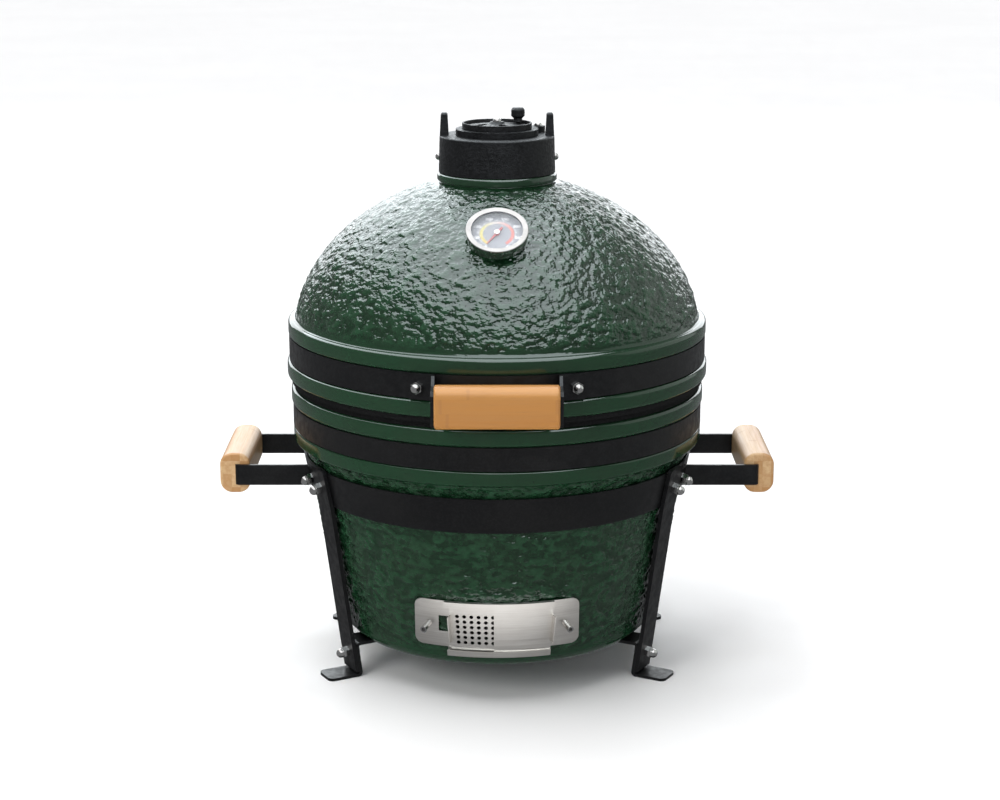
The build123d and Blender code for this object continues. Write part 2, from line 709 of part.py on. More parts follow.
leg_blank = bent_strip(
    [
        (ring_r(LEG_TOP) + half_leg, LEG_TOP),
        (ring_r(LEG_BEND) + half_leg, LEG_BEND),
        (leg_mid_r(FOOT_T - 6), FOOT_T - 6),
    ],
    8,
    LEG_T,
    LEG_W,
)
leg_blank &= Pos(0, 0, FOOT_T + LEG_LIFT) * Box(600, 100, 400, align=BASE)
top_corners = leg_blank.edges().filter_by(lambda e: abs(e.length - LEG_T) < 0.1).sort_by(Axis.Z)[-2:]
leg_blank = fillet(top_corners, 5)

leg_bolt_z = SEAM - 97.0
leg_bolt = Pos(ring_r(leg_bolt_z) + SEAT_GAP, 0, leg_bolt_z) * Rot(0, 90 + ring_tilt, 0)
leg_stud, leg_nut = held_by_nut(LEG_T)
leg_stud = leg_bolt * leg_stud
leg_nut = leg_bolt * leg_nut

# Each crossbar runs under the base from foot to foot.
bar_half = FOOT_T / 2 / cos(radians(leg_tilt)) + SEAT_GAP
foot_bolt_z = 24.8


def bar_mid_r(z):
    return LEG_FOOT_R + (z - FOOT_T) * leg_slope - bar_half


foot_bolt = Pos(bar_mid_r(foot_bolt_z) - bar_half + SEAT_GAP, 0, foot_bolt_z) * Rot(0, 90 + leg_tilt, 0)
foot_grip = FOOT_T + LEG_T + 3 * SEAT_GAP
foot_stud = stud(STUD_R, -1, foot_grip + STUD_OUT) + Pos(0, 0, -4) * hex_head(NUT_FLATS, 4)
foot_stud = foot_bolt * foot_stud
foot_nut = foot_bolt * Pos(0, 0, foot_grip) * acorn_nut(STUD_R, NUT_FLATS, NUT_TALL)
foot_hole = foot_bolt * rod(STUD_R, -10, 20)
leg = leg_blank - leg_bolt * rod(STUD_R, -5, 20) - foot_hole


def crossbar(dip):
    """Strip under the base with down-turned ends and feet turned outwards."""
    right = [
        (bar_mid_r(BAR_MID), BAR_MID),
        (bar_mid_r(FOOT_T / 2), FOOT_T / 2),
        (LEG_FOOT_R + FOOT_LEN, FOOT_T / 2),
    ]
    middle = []
    if dip > 0:
        dipped = BAR_MID - dip
        middle = [(-DIP_OUT, BAR_MID), (-DIP_IN, dipped), (DIP_IN, dipped), (DIP_OUT, BAR_MID)]
    left = [(-r, z) for r, z in reversed(right)]
    bar = bent_strip(left + middle + right, 3.0, FOOT_T, LEG_W)
    ends = bar.edges().filter_by(lambda e: abs(e.length - FOOT_T) < 0.05 and abs(e.center().X) > LEG_FOOT_R + 20)
    bar = fillet(ends, 6)
    return bar - foot_hole - Rot(0, 0, 180) * foot_hole


nodes["crossbar_upper"] = Rot(0, 0, LEG_AZ) * crossbar(0)
nodes["crossbar_lower"] = Rot(0, 0, -LEG_AZ) * crossbar(FOOT_T + SEAT_GAP)

leg_azimuths = {
    "rear_right": LEG_AZ,
    "rear_left": 180 - LEG_AZ,
    "front_left": 180 + LEG_AZ,
    "front_right": -LEG_AZ,
}
turns = [Rot(0, 0, az) for az in leg_azimuths.values()]
for name, az in leg_azimuths.items():
    nodes["leg_" + name] = Rot(0, 0, az) * leg
leg_studs = [turn * leg_stud for turn in turns]
leg_nuts = [turn * leg_nut for turn in turns]
nodes["foot_bolts"] = [turn * foot_stud for turn in turns]
nodes["foot_nuts"] = [turn * foot_nut for turn in turns]

# ---- side handles -------------------------------------------------------------------------
strap_mid_z = STRAP_TOP - STRAP_H / 2
strap_az = degrees(asin((STRAP_Y - STRAP_T / 2) / RING_R))
strap_end_az = strap_az + degrees(TAB_LEN / RING_R) + 0.9
tab_mid_az = (strap_az + strap_end_az) / 2 + 0.8
strap_path = FilletPolyline(
    (150, STRAP_Y), (STRAP_X, STRAP_Y), (STRAP_X, -STRAP_Y), (150, -STRAP_Y), radius=STRAP_BEND
)
strap = Pos(0, 0, STRAP_TOP - STRAP_H) * extrude(trace(strap_path, line_width=STRAP_T), STRAP_H)
ring_core = turned(
    face_of(
        [
            (0, RING_BOTTOM),
            (ring_r(RING_BOTTOM) + SEAT_GAP, RING_BOTTOM),
            (ring_r(RING_TOP + 10) + SEAT_GAP, RING_TOP + 10),
            (0, RING_TOP + 10),
        ]
    )
)
strap -= ring_core
tab = on_ring(SEAT_GAP, STRAP_T, STRAP_TOP - STRAP_H, STRAP_TOP, strap_az, strap_end_az)
strap = strap + tab + mirror(tab, Plane.XZ)
strap_bolt = Pos(ring_r(strap_mid_z) + SEAT_GAP, 0, strap_mid_z) * Rot(0, 90 + ring_tilt, 0)
strap_spots = [Rot(0, 0, az) * strap_bolt for az in (tab_mid_az, -tab_mid_az)]
for spot in strap_spots:
    strap -= spot * rod(STUD_R, -5, 20)
tab_seat = STRAP_T + 0.1
tab_stud, tab_nut = held_by_nut(tab_seat)
right_studs = [spot * tab_stud for spot in strap_spots]
right_nuts = [spot * tab_nut for spot in strap_spots]

grip = Box(GRIP_D, GRIP_LEN, GRIP_TALL, align=(Align.MIN, Align.CENTER, Align.CENTER))
grip = fillet(grip.edges().filter_by(Axis.Y), GRIP_ROUND)
grip = fillet(grip.edges().group_by(Axis.Y)[0] + grip.edges().group_by(Axis.Y)[-1], 2.5)
grip = Pos(GRIP_X0, 0, strap_mid_z + 1) * grip - strap
nodes["side_strap_right"] = strap
nodes["side_strap_left"] = mirror(strap, Plane.YZ)
nodes["ring_studs"] = leg_studs + right_studs + [mirror(s, Plane.YZ) for s in right_studs]
nodes["ring_nuts"] = leg_nuts + right_nuts + [mirror(s, Plane.YZ) for s in right_nuts]
nodes["side_grip_right"] = grip
nodes["side_grip_left"] = mirror(grip, Plane.YZ)

# ---- front handle -------------------------------------------------------------------------
band_r = LID_GROOVE_R + BAND_T
arm_x = FRONT_LEN / 2 + SEAT_GAP
front_top = FRONT_BOTTOM + GRIP_TALL
front_back = FRONT_FACE - FRONT_D
front_grip = Box(FRONT_LEN, FRONT_D, GRIP_TALL, align=(Align.CENTER, Align.MIN, Align.MIN))
front_grip = fillet(front_grip.edges().filter_by(Axis.X), FRONT_ROUND)
front_grip = fillet(front_grip.edges().group_by(Axis.X)[0] + front_grip.edges().group_by(Axis.X)[-1], 2.5)
front_grip = Pos(0, -FRONT_FACE, FRONT_BOTTOM) * front_grip
arm_outline = [
    (-(band_r - 9.5), lid_band_high),
    (-(band_r - 1), lid_band_high),
    (-(front_back - 6), front_top - 5),
    (-(FRONT_FACE - 6), front_top - 5),
    (-(FRONT_FACE - 4), front_top - 9),
    (-(FRONT_FACE - 4), FRONT_BOTTOM + 6),
    (-(FRONT_FACE - 9), FRONT_BOTTOM + 1),
    (-(LID_R + 6), FRONT_BOTTOM + 1),
    (-(LID_R + 2), lid_band_low),
    (-(band_r - 9.5), lid_band_low),
]
arm = extrude(Plane.YZ.offset(arm_x) * face_of(arm_outline), ARM_T)
tab_start = degrees(asin((arm_x + 0.3) / band_r))
tab_end = tab_start + degrees(TAB_W / band_r)
front_tab = hoop(band_r, band_r + ARM_T, lid_band_low, lid_band_high, 270 + tab_start, 270 + tab_end)
arm = arm + front_tab - rod(band_r, lid_band_low - 5, lid_band_high + 5)
end_screw_y = -(FRONT_FACE - FRONT_D / 2)
end_screw_z = FRONT_BOTTOM + GRIP_TALL / 2
end_screw = rod(END_SCREW_R, -20, 0.6) + rod(4.0, 0.5, ARM_T - 0.3)
end_screw -= Pos(0, 0, ARM_T - 1.5) * hex_head(2.5, 5)
end_screw = along_x(arm_x, end_screw_y, end_screw_z) * end_screw
screw_way = along_x(arm_x, end_screw_y, end_screw_z) * (rod(END_SCREW_R, -20, 0.6) + rod(4.0, 0.5, 10))
arm -= screw_way
front_grip -= screw_way
front_grip -= mirror(screw_way, Plane.YZ)
front_bolt_az = 270 + tab_start + (tab_end - tab_start) * 0.6
front_bolt = outward(front_bolt_az, band_r + SEAT_GAP, lid_bolt_z)
arm -= front_bolt * rod(STUD_R, -5, 20)
front_stud, front_nut = held_by_nut(ARM_T)
nodes["front_grip"] = front_grip
nodes["front_bracket_right"] = arm
nodes["front_bracket_left"] = mirror(arm, Plane.YZ)
nodes["front_studs"] = both_sides(front_bolt * front_stud)
nodes["front_nuts"] = both_sides(front_bolt * front_nut)
nodes["front_end_screws"] = both_sides(end_screw)

# ---- top vent -----------------------------------------------------------------------------
collar_face = face_of(
    [
        (COLLAR_BORE, COLLAR_BOTTOM),
        (COLLAR_R, COLLAR_BOTTOM),
        (COLLAR_R - COLLAR_DRAFT, COLLAR_TOP),
        (OUTLET_R, COLLAR_TOP),
        (OUTLET_R, COLLAR_TOP - DECK_T),
        (COLLAR_BORE, COLLAR_TOP - DECK_T),
    ]
)
collar_face = rounded(collar_face, [(COLLAR_R - COLLAR_DRAFT, COLLAR_TOP)], 1.5)
collar = turned(collar_face)
post = extrude(Rectangle(9, 11), POST_TALL + 3, taper=3)
post = fillet(post.edges().group_by(Axis.Z)[-1], 2.4)
for turn in (0, 180):
    collar += Rot(0, 0, turn) * Pos(COLLAR_R - COLLAR_DRAFT - 4.7, 0, COLLAR_TOP - 3) * post
pivot = Pos(PIVOT_X, PIVOT_Y, 0)
collar -= pivot * rod(SCREW_R, COLLAR_TOP - 8, COLLAR_TOP + 5)
collar_screw_z = SEAM + 215.0
collar_wall_r = COLLAR_R - COLLAR_DRAFT * (collar_screw_z - COLLAR_BOTTOM) / (COLLAR_TOP - COLLAR_BOTTOM)
collar_screw = rod(SCREW_R, STUB_R + 0.2, collar_wall_r + 1)
screw_dome = Pos(0, 0, collar_wall_r + 0.1) * (Sphere(3.8) & rod(4, 0, 3.4))
collar_screw += screw_dome
side_spots = [Pos(0, 0, collar_screw_z) * Rot(0, turn, 0) for turn in (90, -90)]
for spot in side_spots:
    collar -= spot * rod(SCREW_R, STUB_R - 1, COLLAR_R + 2)
nodes["vent_collar"] = collar
nodes["collar_screws"] = [spot * collar_screw for spot in side_spots]


def petal(inner, outer, width):
    """Leaf-shaped slot along +X."""
    middle = (inner + outer) / 2
    upper = ThreePointArc((inner, 0), (middle, width * 0.7), (outer, 0))
    lower = ThreePointArc((outer, 0), (middle, -width * 0.3), (inner, 0))
    return make_face([upper.edge(), lower.edge()])


petal_cut = extrude(petal(9.5, WHEEL_R - 5.5, 10), 30)
petal_azimuths = [196 + 360 / PETALS * k for k in range(PETALS)]

ear_angle = atan2(PIVOT_Y, PIVOT_X)
plate_face = Circle(PLATE_R) + Pos(PIVOT_X, PIVOT_Y) * Circle(7.0)
neck_piece = Rot(0, 0, degrees(ear_angle)) * Pos(PLATE_R - 2, 0) * Rectangle(13, 12)
plate_face = plate_face + neck_piece - Pos(PIVOT_X, PIVOT_Y) * Circle(SCREW_R + PIN_GAP)
plate = Pos(0, 0, PLATE_BOTTOM) * extrude(plate_face, PLATE_T)
plate -= rod(SCREW_R, PLATE_BOTTOM - 1, PLATE_TOP + 1)
for az in petal_azimuths:
    plate -= Rot(0, 0, az + PETAL_SHIFT) * Pos(0, 0, PLATE_BOTTOM - 5) * petal_cut
nodes["damper_plate"] = plate
pan_head = Sphere(4.2) & rod(5, 0, 3.2)
cross = Box(4.2, 0.9, 2) + Box(0.9, 4.2, 2)
pan_head -= Pos(0, 0, 3.2) * cross
pivot_screw = rod(SCREW_R, COLLAR_TOP - 8, PLATE_TOP + 1.2)
pivot_screw += Pos(0, 0, PLATE_TOP + SLIDE_GAP) * pan_head
nodes["damper_pivot_screw"] = pivot * pivot_screw

wheel_top = WHEEL_BOTTOM + WHEEL_T
rim_top_z = wheel_top + WHEEL_RIM
hub_top = wheel_top + 3.2
wheel = turned(
    face_of(
        [
            (SCREW_R + PIN_GAP, WHEEL_BOTTOM),
            (WHEEL_R, WHEEL_BOTTOM),
            (WHEEL_R, rim_top_z),
            (WHEEL_R - 1.8, rim_top_z),
            (WHEEL_R - 2.4, wheel_top - 1.0),
            (8.0, wheel_top + 1.6),
            (6.5, hub_top),
            (SCREW_R + PIN_GAP, hub_top),
        ]
    )
)
for az in petal_azimuths:
    wheel -= Rot(0, 0, az) * Pos(0, 0, WHEEL_BOTTOM - 5) * petal_cut
knob_spot = Rot(0, 0, KNOB_AZ) * Pos(KNOB_R, 0, 0)
wheel -= knob_spot * rod(2.0, WHEEL_BOTTOM - 1, wheel_top + 4)
nodes["daisy_wheel"] = wheel
knob = revolve(
    Plane.XZ
    * face_of(
        [
            (0, WHEEL_BOTTOM),
            (2.0, WHEEL_BOTTOM),
            (2.0, wheel_top + 1.6),
            (4.8, wheel_top + 1.6),
            (4.2, wheel_top + 4.5),
            (6.7, wheel_top + 7.0),
            (6.7, wheel_top + 13.0),
            (5.2, wheel_top + 15.0),
            (0, wheel_top + 15.0),
        ]
    ),
    Axis.Z,
)
nodes["wheel_knob"] = knob_spot * knob
wheel_screw = rod(SCREW_R, PLATE_BOTTOM, hub_top + 1.2)
wheel_screw += Pos(0, 0, hub_top + SLIDE_GAP) * pan_head
nodes["wheel_screw"] = wheel_screw

# ---- thermometer --------------------------------------------------------------------------
case = rod(CASE_R, CASE_LIFT, CASE_TOP) - rod(CASE_R - 1, CASE_LIFT + 1.2, CASE_TOP + 1)
case += rod(5.0, CASE_LIFT + 1, DIAL_LIFT)
case += rod(BUSH_R, -SEAT_DEPTH - 9, CASE_LIFT + 0.5)
case -= rod(PROBE_R, -SEAT_DEPTH - 10, CASE_LIFT + 0.2)
nodes["thermometer_case"] = gauge * case
nodes["thermometer_probe"] = gauge * rod(PROBE_R, -PROBE_LEN, 0)
gauge_nut = hex_head(19, 5) - rod(BUSH_R, -1, 6)
nodes["thermometer_nut"] = gauge * Pos(0, 0, -SEAT_DEPTH - 5 - SEAT_GAP) * gauge_nut
dial = rod(CASE_R - 1.2, DIAL_LIFT, DIAL_LIFT + DIAL_T)
spindle = rod(0.8, DIAL_LIFT + 0.5, DIAL_LIFT + DIAL_T + 2.0)
nodes["thermometer_dial"] = gauge * (dial + spindle)
nodes["thermometer_glass"] = gauge * rod(CASE_R - 0.1, CASE_TOP + 0.1, CASE_TOP + 0.1 + GLASS_T)
bezel_profile = face_of(
    [
        (CASE_R, BEZEL_TOP - 5.0),
        (GAUGE_R, BEZEL_TOP - 5.0),
        (GAUGE_R, BEZEL_TOP),
        (WINDOW_R, BEZEL_TOP - 0.6),
        (WINDOW_R, CASE_TOP + 0.1 + GLASS_T),
        (CASE_R, CASE_TOP + 0.1 + GLASS_T),
    ]
)
bezel_profile = rounded(bezel_profile, [(GAUGE_R, BEZEL_TOP)], 1.0)
nodes["thermometer_bezel"] = gauge * turned(bezel_profile)
needle_low = DIAL_LIFT + DIAL_T + 0.5
pointer = face_of([(-1.0, -8.5), (1.0, -8.5), (0.9, 0), (0.35, 16.5), (-0.35, 16.5), (-0.9, 0)])
needle = Pos(0, 0, needle_low + 0.6) * extrude(pointer, 0.6)
needle += rod(2.6, needle_low, needle_low + 2.3)
needle -= rod(0.8 + PIN_GAP / 2, needle_low - 1, needle_low + 1.7)
nodes["thermometer_needle"] = gauge * Rot(0, 0, -NEEDLE_AZ) * needle

os.makedirs("parts", exist_ok=True)
for name, shape in nodes.items():
    solids = shape if isinstance(shape, list) else [shape]
    pieces = [solid for item in solids for solid in item.solids()]
    export_step(Compound(children=pieces) if len(pieces) > 1 else pieces[0], f"parts/{name}.step")
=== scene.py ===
import json

import bmesh
import bpy
import numpy as np
from math import asin, cos, pi, radians, sin
from mathutils import Matrix, Vector, noise

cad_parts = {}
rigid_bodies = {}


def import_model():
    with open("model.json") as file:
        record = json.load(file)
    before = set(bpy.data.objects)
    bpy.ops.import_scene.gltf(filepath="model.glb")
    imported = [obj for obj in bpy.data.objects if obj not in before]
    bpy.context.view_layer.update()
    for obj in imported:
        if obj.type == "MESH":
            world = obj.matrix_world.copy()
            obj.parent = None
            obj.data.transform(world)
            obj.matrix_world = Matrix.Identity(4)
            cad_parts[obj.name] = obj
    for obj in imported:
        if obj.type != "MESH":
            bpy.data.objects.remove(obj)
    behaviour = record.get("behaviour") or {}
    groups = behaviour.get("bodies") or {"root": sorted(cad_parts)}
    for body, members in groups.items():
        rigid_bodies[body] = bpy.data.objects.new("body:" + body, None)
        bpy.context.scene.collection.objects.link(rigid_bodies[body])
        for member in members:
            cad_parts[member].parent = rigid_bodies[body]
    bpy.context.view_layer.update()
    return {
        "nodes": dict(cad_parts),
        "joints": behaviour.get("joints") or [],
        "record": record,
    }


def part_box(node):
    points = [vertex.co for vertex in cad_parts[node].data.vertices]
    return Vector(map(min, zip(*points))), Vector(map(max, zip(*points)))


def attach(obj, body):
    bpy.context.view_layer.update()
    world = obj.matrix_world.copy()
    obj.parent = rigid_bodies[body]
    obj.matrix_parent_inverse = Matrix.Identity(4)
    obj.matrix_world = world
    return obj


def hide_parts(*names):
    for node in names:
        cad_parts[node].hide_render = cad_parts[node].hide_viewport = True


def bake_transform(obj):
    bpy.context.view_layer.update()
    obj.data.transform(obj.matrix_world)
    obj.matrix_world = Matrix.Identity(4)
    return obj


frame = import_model()
nodes = frame["nodes"]
joints = {j["name"]: j for j in frame["joints"]}
MM = 0.001

# ---------------------------------------------------------------- sizes taken from the frame
lid_low, lid_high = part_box("lid_dome")
base_low, base_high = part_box("base_shell")
SEAM = lid_low.z
BASE_TOP = base_high.z
LID_R = lid_high.x
BASE_R = base_high.x
BASE_BOTTOM = base_low.z
GAUGE = Vector(joints["thermometer_needle_turn"]["pos_m"])
GAUGE_OUT = -Vector(joints["thermometer_needle_turn"]["axis"]).normalized()


# ---------------------------------------------------------------- node helpers
def add(tree, kind, props=None, **inputs):
    """Adds a node. Inputs are given by name, as a value or as a socket to link from."""
    node = tree.nodes.new(kind)
    for key, value in (props or {}).items():
        setattr(node, key, value)
    for key, value in inputs.items():
        name = key.replace("_", " ")
        socket = node.inputs[int(key[1:])] if key[1:].isdigit() else node.inputs[name]
        if isinstance(value, bpy.types.NodeSocket):
            tree.links.new(value, socket)
        else:
            socket.default_value = value
    return node


def math(tree, operation, a, b=0.0, c=0.0, clamp=False):
    node = tree.nodes.new("ShaderNodeMath")
    node.operation = operation
    node.use_clamp = clamp
    for socket, value in zip(node.inputs, (a, b, c)):
        if isinstance(value, bpy.types.NodeSocket):
            tree.links.new(value, socket)
        else:
            socket.default_value = value
    return node.outputs[0]


def ramp(tree, value, low, high, to_low=0.0, to_high=1.0):
    node = add(tree, "ShaderNodeMapRange", {"interpolation_type": "SMOOTHSTEP"}, Value=value)
    node.inputs["From Min"].default_value = low
    node.inputs["From Max"].default_value = high
    node.inputs["To Min"].default_value = to_low
    node.inputs["To Max"].default_value = to_high
    return node.outputs[0]


def mix(tree, factor, a, b):
    node = tree.nodes.new("ShaderNodeMix")
    node.data_type = "RGBA"
    for socket, value in ((node.inputs[0], factor), (node.inputs[6], a), (node.inputs[7], b)):
        if isinstance(value, bpy.types.NodeSocket):
            tree.links.new(value, socket)
        elif socket == node.inputs[0]:
            socket.default_value = value
        else:
            socket.default_value = tuple(value) + (1.0,)
    return node.outputs[2]


def times(tree, a, b):
    return math(tree, "MULTIPLY", a, b)


def tint(tree, mask, amount, colour, tone):
    """Lays a tone over a colour where the mask is, as strongly as the amount says."""
    return mix(tree, times(tree, mask, amount), colour, tone)


def grain(tree, vector, scale, detail=2.0, roughness=0.5, stretch=None):
    if stretch:
        stretching = {"operation": "MULTIPLY"}
        vector = add(tree, "ShaderNodeVectorMath", stretching, _0=vector, _1=stretch).outputs[0]
    values = {"Vector": vector, "Scale": scale, "Detail": detail, "Roughness": roughness}
    return add(tree, "ShaderNodeTexNoise", None, **values).outputs[0]


def group(name, inputs, outputs):
    """New shader group. Inputs map a name to a default; returns tree, its inputs and its output node."""
    tree = bpy.data.node_groups.new(name, "ShaderNodeTree")
    kinds = {float: "NodeSocketFloat", tuple: "NodeSocketColor", type(None): "NodeSocketVector"}
    for key, value in inputs.items():
        socket = tree.interface.new_socket(key, in_out="INPUT", socket_type=kinds[type(value)])
        if value is not None:
            socket.default_value = value + (1.0,) if isinstance(value, tuple) else value
    for key, kind in outputs.items():
        tree.interface.new_socket(key, in_out="OUTPUT", socket_type="NodeSocket" + kind)
    return tree, tree.nodes.new("NodeGroupInput").outputs, tree.nodes.new("NodeGroupOutput")


def finish_group(tree, out, **links):
    for key, socket in links.items():
        tree.links.new(socket, out.inputs[key])
    return tree


def material(name, **constants):
    """New material with a Principled shader; constants go on the shader's own sockets."""
    made = bpy.data.materials.new(name)
    made.use_nodes = True
    tree = made.node_tree
    surface = tree.nodes["Principled BSDF"]
    for key, value in constants.items():
        surface.inputs[key.replace("_", " ")].default_value = value
    coordinates = tree.nodes.new("ShaderNodeTexCoord").outputs["Object"]
    return made, tree, surface, coordinates


def use(tree, shared, **inputs):
    node = tree.nodes.new("ShaderNodeGroup")
    node.node_tree = shared
    for key, value in inputs.items():
        socket = node.inputs[key.replace("_", " ")]
        if isinstance(value, bpy.types.NodeSocket):
            tree.links.new(value, socket)
        else:
            socket.default_value = value + (1.0,) if isinstance(value, tuple) else value
    return node.outputs


def bump(tree, surface, height, strength, distance):
    node = add(tree, "ShaderNodeBump", None, Height=height, Strength=strength, Distance=distance)
    tree.links.new(node.outputs[0], surface.inputs["Normal"])


# ---------------------------------------------------------------- shared effects
def cloudy_group():
    """Two sizes of soft blotches, for tone and sheen that is never quite even."""
    inputs = {"Coordinates": None, "Size": 20.0}
    tree, given, out = group("Soft blotches", inputs, {"Broad": "Float", "Fine": "Float"})
    broad = grain(tree, given["Coordinates"], given["Size"], 3.0)
    fine = grain(tree, given["Coordinates"], math(tree, "MULTIPLY", given["Size"], 9.0), 4.0, 0.6)
    return finish_group(tree, out, Broad=ramp(tree, broad, 0.3, 0.7), Fine=ramp(tree, fine, 0.3, 0.7))


def pebble_group():
    """Fine raised grain of a baked powder coat or a sand casting."""
    inputs = {"Coordinates": None, "Grain size": 0.0008}
    tree, given, out = group("Fine pebbling", inputs, {"Height": "Float", "Mask": "Float"})
    scale = math(tree, "DIVIDE", 1.0, given["Grain size"])
    smooth = {"feature": "SMOOTH_F1"}
    cells = add(tree, "ShaderNodeTexVoronoi", smooth, Vector=given["Coordinates"], Scale=scale)
    rough = grain(tree, given["Coordinates"], math(tree, "MULTIPLY", scale, 0.55), 3.0, 0.6)
    height = math(tree, "ADD", math(tree, "MULTIPLY", cells.outputs[0], -0.7), rough)
    return finish_group(tree, out, Height=height, Mask=ramp(tree, rough, 0.45, 0.62))


def scratch_group():
    """Short hair scratches in two directions."""
    inputs = {"Coordinates": None, "Scale": 900.0}
    tree, given, out = group("Hair scratches", inputs, {"Height": "Float", "Mask": "Float"})
    one = grain(tree, given["Coordinates"], given["Scale"], 2.0, 0.5, (0.06, 1.0, 1.0))
    two = grain(tree, given["Coordinates"], given["Scale"], 2.0, 0.5, (1.0, 0.3, 0.05))
    both = math(tree, "MAXIMUM", ramp(tree, one, 0.62, 0.72), ramp(tree, two, 0.64, 0.74))
    return finish_group(tree, out, Height=math(tree, "ADD", one, two), Mask=both)


CLOUDY = cloudy_group()
PEBBLE = pebble_group()
SCRATCH = scratch_group()


# ---------------------------------------------------------------- materials
def green_glaze():
    made, tree, surface, where = material("green_glaze", Roughness=0.1, IOR=1.52)
    relief = add(tree, "ShaderNodeAttribute", {"attribute_name": "relief"}).outputs["Fac"]
    clouds = use(tree, CLOUDY, Coordinates=where, Size=28.0)
    pooled = ramp(tree, relief, -0.8, 0.9)
    colour = mix(tree, pooled, (0.0036, 0.0200, 0.0075), (0.0135, 0.0530, 0.0235))
    colour = tint(tree, clouds["Broad"], 0.35, colour, (0.0150, 0.0330, 0.0170))
    specks = ramp(tree, grain(tree, where, 700.0, 2.0), 0.66, 0.74)
    colour = tint(tree, specks, 0.5, colour, (0.004, 0.012, 0.007))
    tree.links.new(colour, surface.inputs["Base Color"])
    tree.links.new(ramp(tree, clouds["Fine"], 0.0, 1.0, 0.07, 0.15), surface.inputs["Roughness"])
    dimpled = add(tree, "ShaderNodeAttribute", {"attribute_name": "dimpled"}).outputs["Fac"]
    ripples = grain(tree, where, 235.0, 1.5, 0.5, (1.0, 1.0, 1.35))
    share = math(tree, "MULTIPLY_ADD", dimpled, 0.96, 0.04)
    bump(tree, surface, times(tree, ripples, share), 0.7, 0.0022)
    return made


def raw_ceramic():
    made, tree, surface, where = material("raw_ceramic", Roughness=0.85)
    clouds = use(tree, CLOUDY, Coordinates=where, Size=18.0)
    pebbles = use(tree, PEBBLE, Coordinates=where, Grain_size=0.0016)
    colour = mix(tree, clouds["Broad"], (0.46, 0.40, 0.32), (0.60, 0.54, 0.45))
    colour = tint(tree, pebbles["Mask"], 0.45, colour, (0.33, 0.28, 0.22))
    tree.links.new(colour, surface.inputs["Base Color"])
    tree.links.new(ramp(tree, clouds["Fine"], 0.0, 1.0, 0.74, 0.92), surface.inputs["Roughness"])
    bump(tree, surface, pebbles["Height"], 0.5, 0.0007)
    return made


def black_steel():
    made, tree, surface, where = material("black_steel", Roughness=0.4, Specular_IOR_Level=0.28)
    clouds = use(tree, CLOUDY, Coordinates=where, Size=14.0)
    pebbles = use(tree, PEBBLE, Coordinates=where, Grain_size=0.0011)
    colour = mix(tree, clouds["Broad"], (0.0034, 0.0034, 0.0042), (0.0066, 0.0064, 0.0068))
    colour = tint(tree, pebbles["Mask"], 0.3, colour, (0.016, 0.016, 0.0165))
    tree.links.new(colour, surface.inputs["Base Color"])
    tree.links.new(ramp(tree, clouds["Fine"], 0.0, 1.0, 0.34, 0.50), surface.inputs["Roughness"])
    bump(tree, surface, pebbles["Height"], 0.18, 0.0003)
    return made


def black_cast():
    made, tree, surface, where = material("black_cast", Roughness=0.5, Specular_IOR_Level=0.25)
    clouds = use(tree, CLOUDY, Coordinates=where, Size=40.0)
    pebbles = use(tree, PEBBLE, Coordinates=where, Grain_size=0.0017)
    colour = mix(tree, clouds["Broad"], (0.0022, 0.0022, 0.0028), (0.0042, 0.0042, 0.0050))
    colour = tint(tree, pebbles["Mask"], 0.4, colour, (0.012, 0.012, 0.014))
    tree.links.new(colour, surface.inputs["Base Color"])
    tree.links.new(ramp(tree, clouds["Fine"], 0.0, 1.0, 0.40, 0.62), surface.inputs["Roughness"])
    bump(tree, surface, pebbles["Height"], 0.45, 0.0006)
    return made


def grate_iron():
    made, tree, surface, where = material("grate_iron", Roughness=0.7, Metallic=0.4)
    clouds = use(tree, CLOUDY, Coordinates=where, Size=25.0)
    pebbles = use(tree, PEBBLE, Coordinates=where, Grain_size=0.002)
    colour = mix(tree, clouds["Broad"], (0.035, 0.033, 0.032), (0.075, 0.07, 0.066))
    tree.links.new(colour, surface.inputs["Base Color"])
    tree.links.new(ramp(tree, clouds["Fine"], 0.0, 1.0, 0.55, 0.8), surface.inputs["Roughness"])
    bump(tree, surface, pebbles["Height"], 0.5, 0.0006)
    return made


def bright_steel(name, tone, rough, scale):
    made, tree, surface, where = material(name, Metallic=1.0)
    clouds = use(tree, CLOUDY, Coordinates=where, Size=60.0)
    scratches = use(tree, SCRATCH, Coordinates=where, Scale=scale)
    darker = tuple(0.86 * part for part in tone)
    tree.links.new(mix(tree, clouds["Broad"], darker, tone), surface.inputs["Base Color"])
    even = ramp(tree, clouds["Fine"], 0.0, 1.0, rough, rough + 0.07)
    worn = math(tree, "MULTIPLY_ADD", scratches["Mask"], 0.12, even)
    tree.links.new(worn, surface.inputs["Roughness"])
    bump(tree, surface, scratches["Height"], 0.05, 0.0002)
    return made


def brushed_sheet():
    made, tree, surface, where = material("brushed_sheet", Metallic=1.0)
    clouds = use(tree, CLOUDY, Coordinates=where, Size=35.0)
    streaks = grain(tree, where, 60.0, 5.0, 0.65, (0.35, 0.35, 60.0))
    colour = mix(tree, ramp(tree, streaks, 0.3, 0.7), (0.50, 0.475, 0.445), (0.66, 0.64, 0.61))
    colour = tint(tree, clouds["Broad"], 0.3, colour, (0.52, 0.49, 0.455))
    tree.links.new(colour, surface.inputs["Base Color"])
    tree.links.new(ramp(tree, streaks, 0.3, 0.7, 0.30, 0.44), surface.inputs["Roughness"])
    bump(tree, surface, streaks, 0.18, 0.00025)
    return made


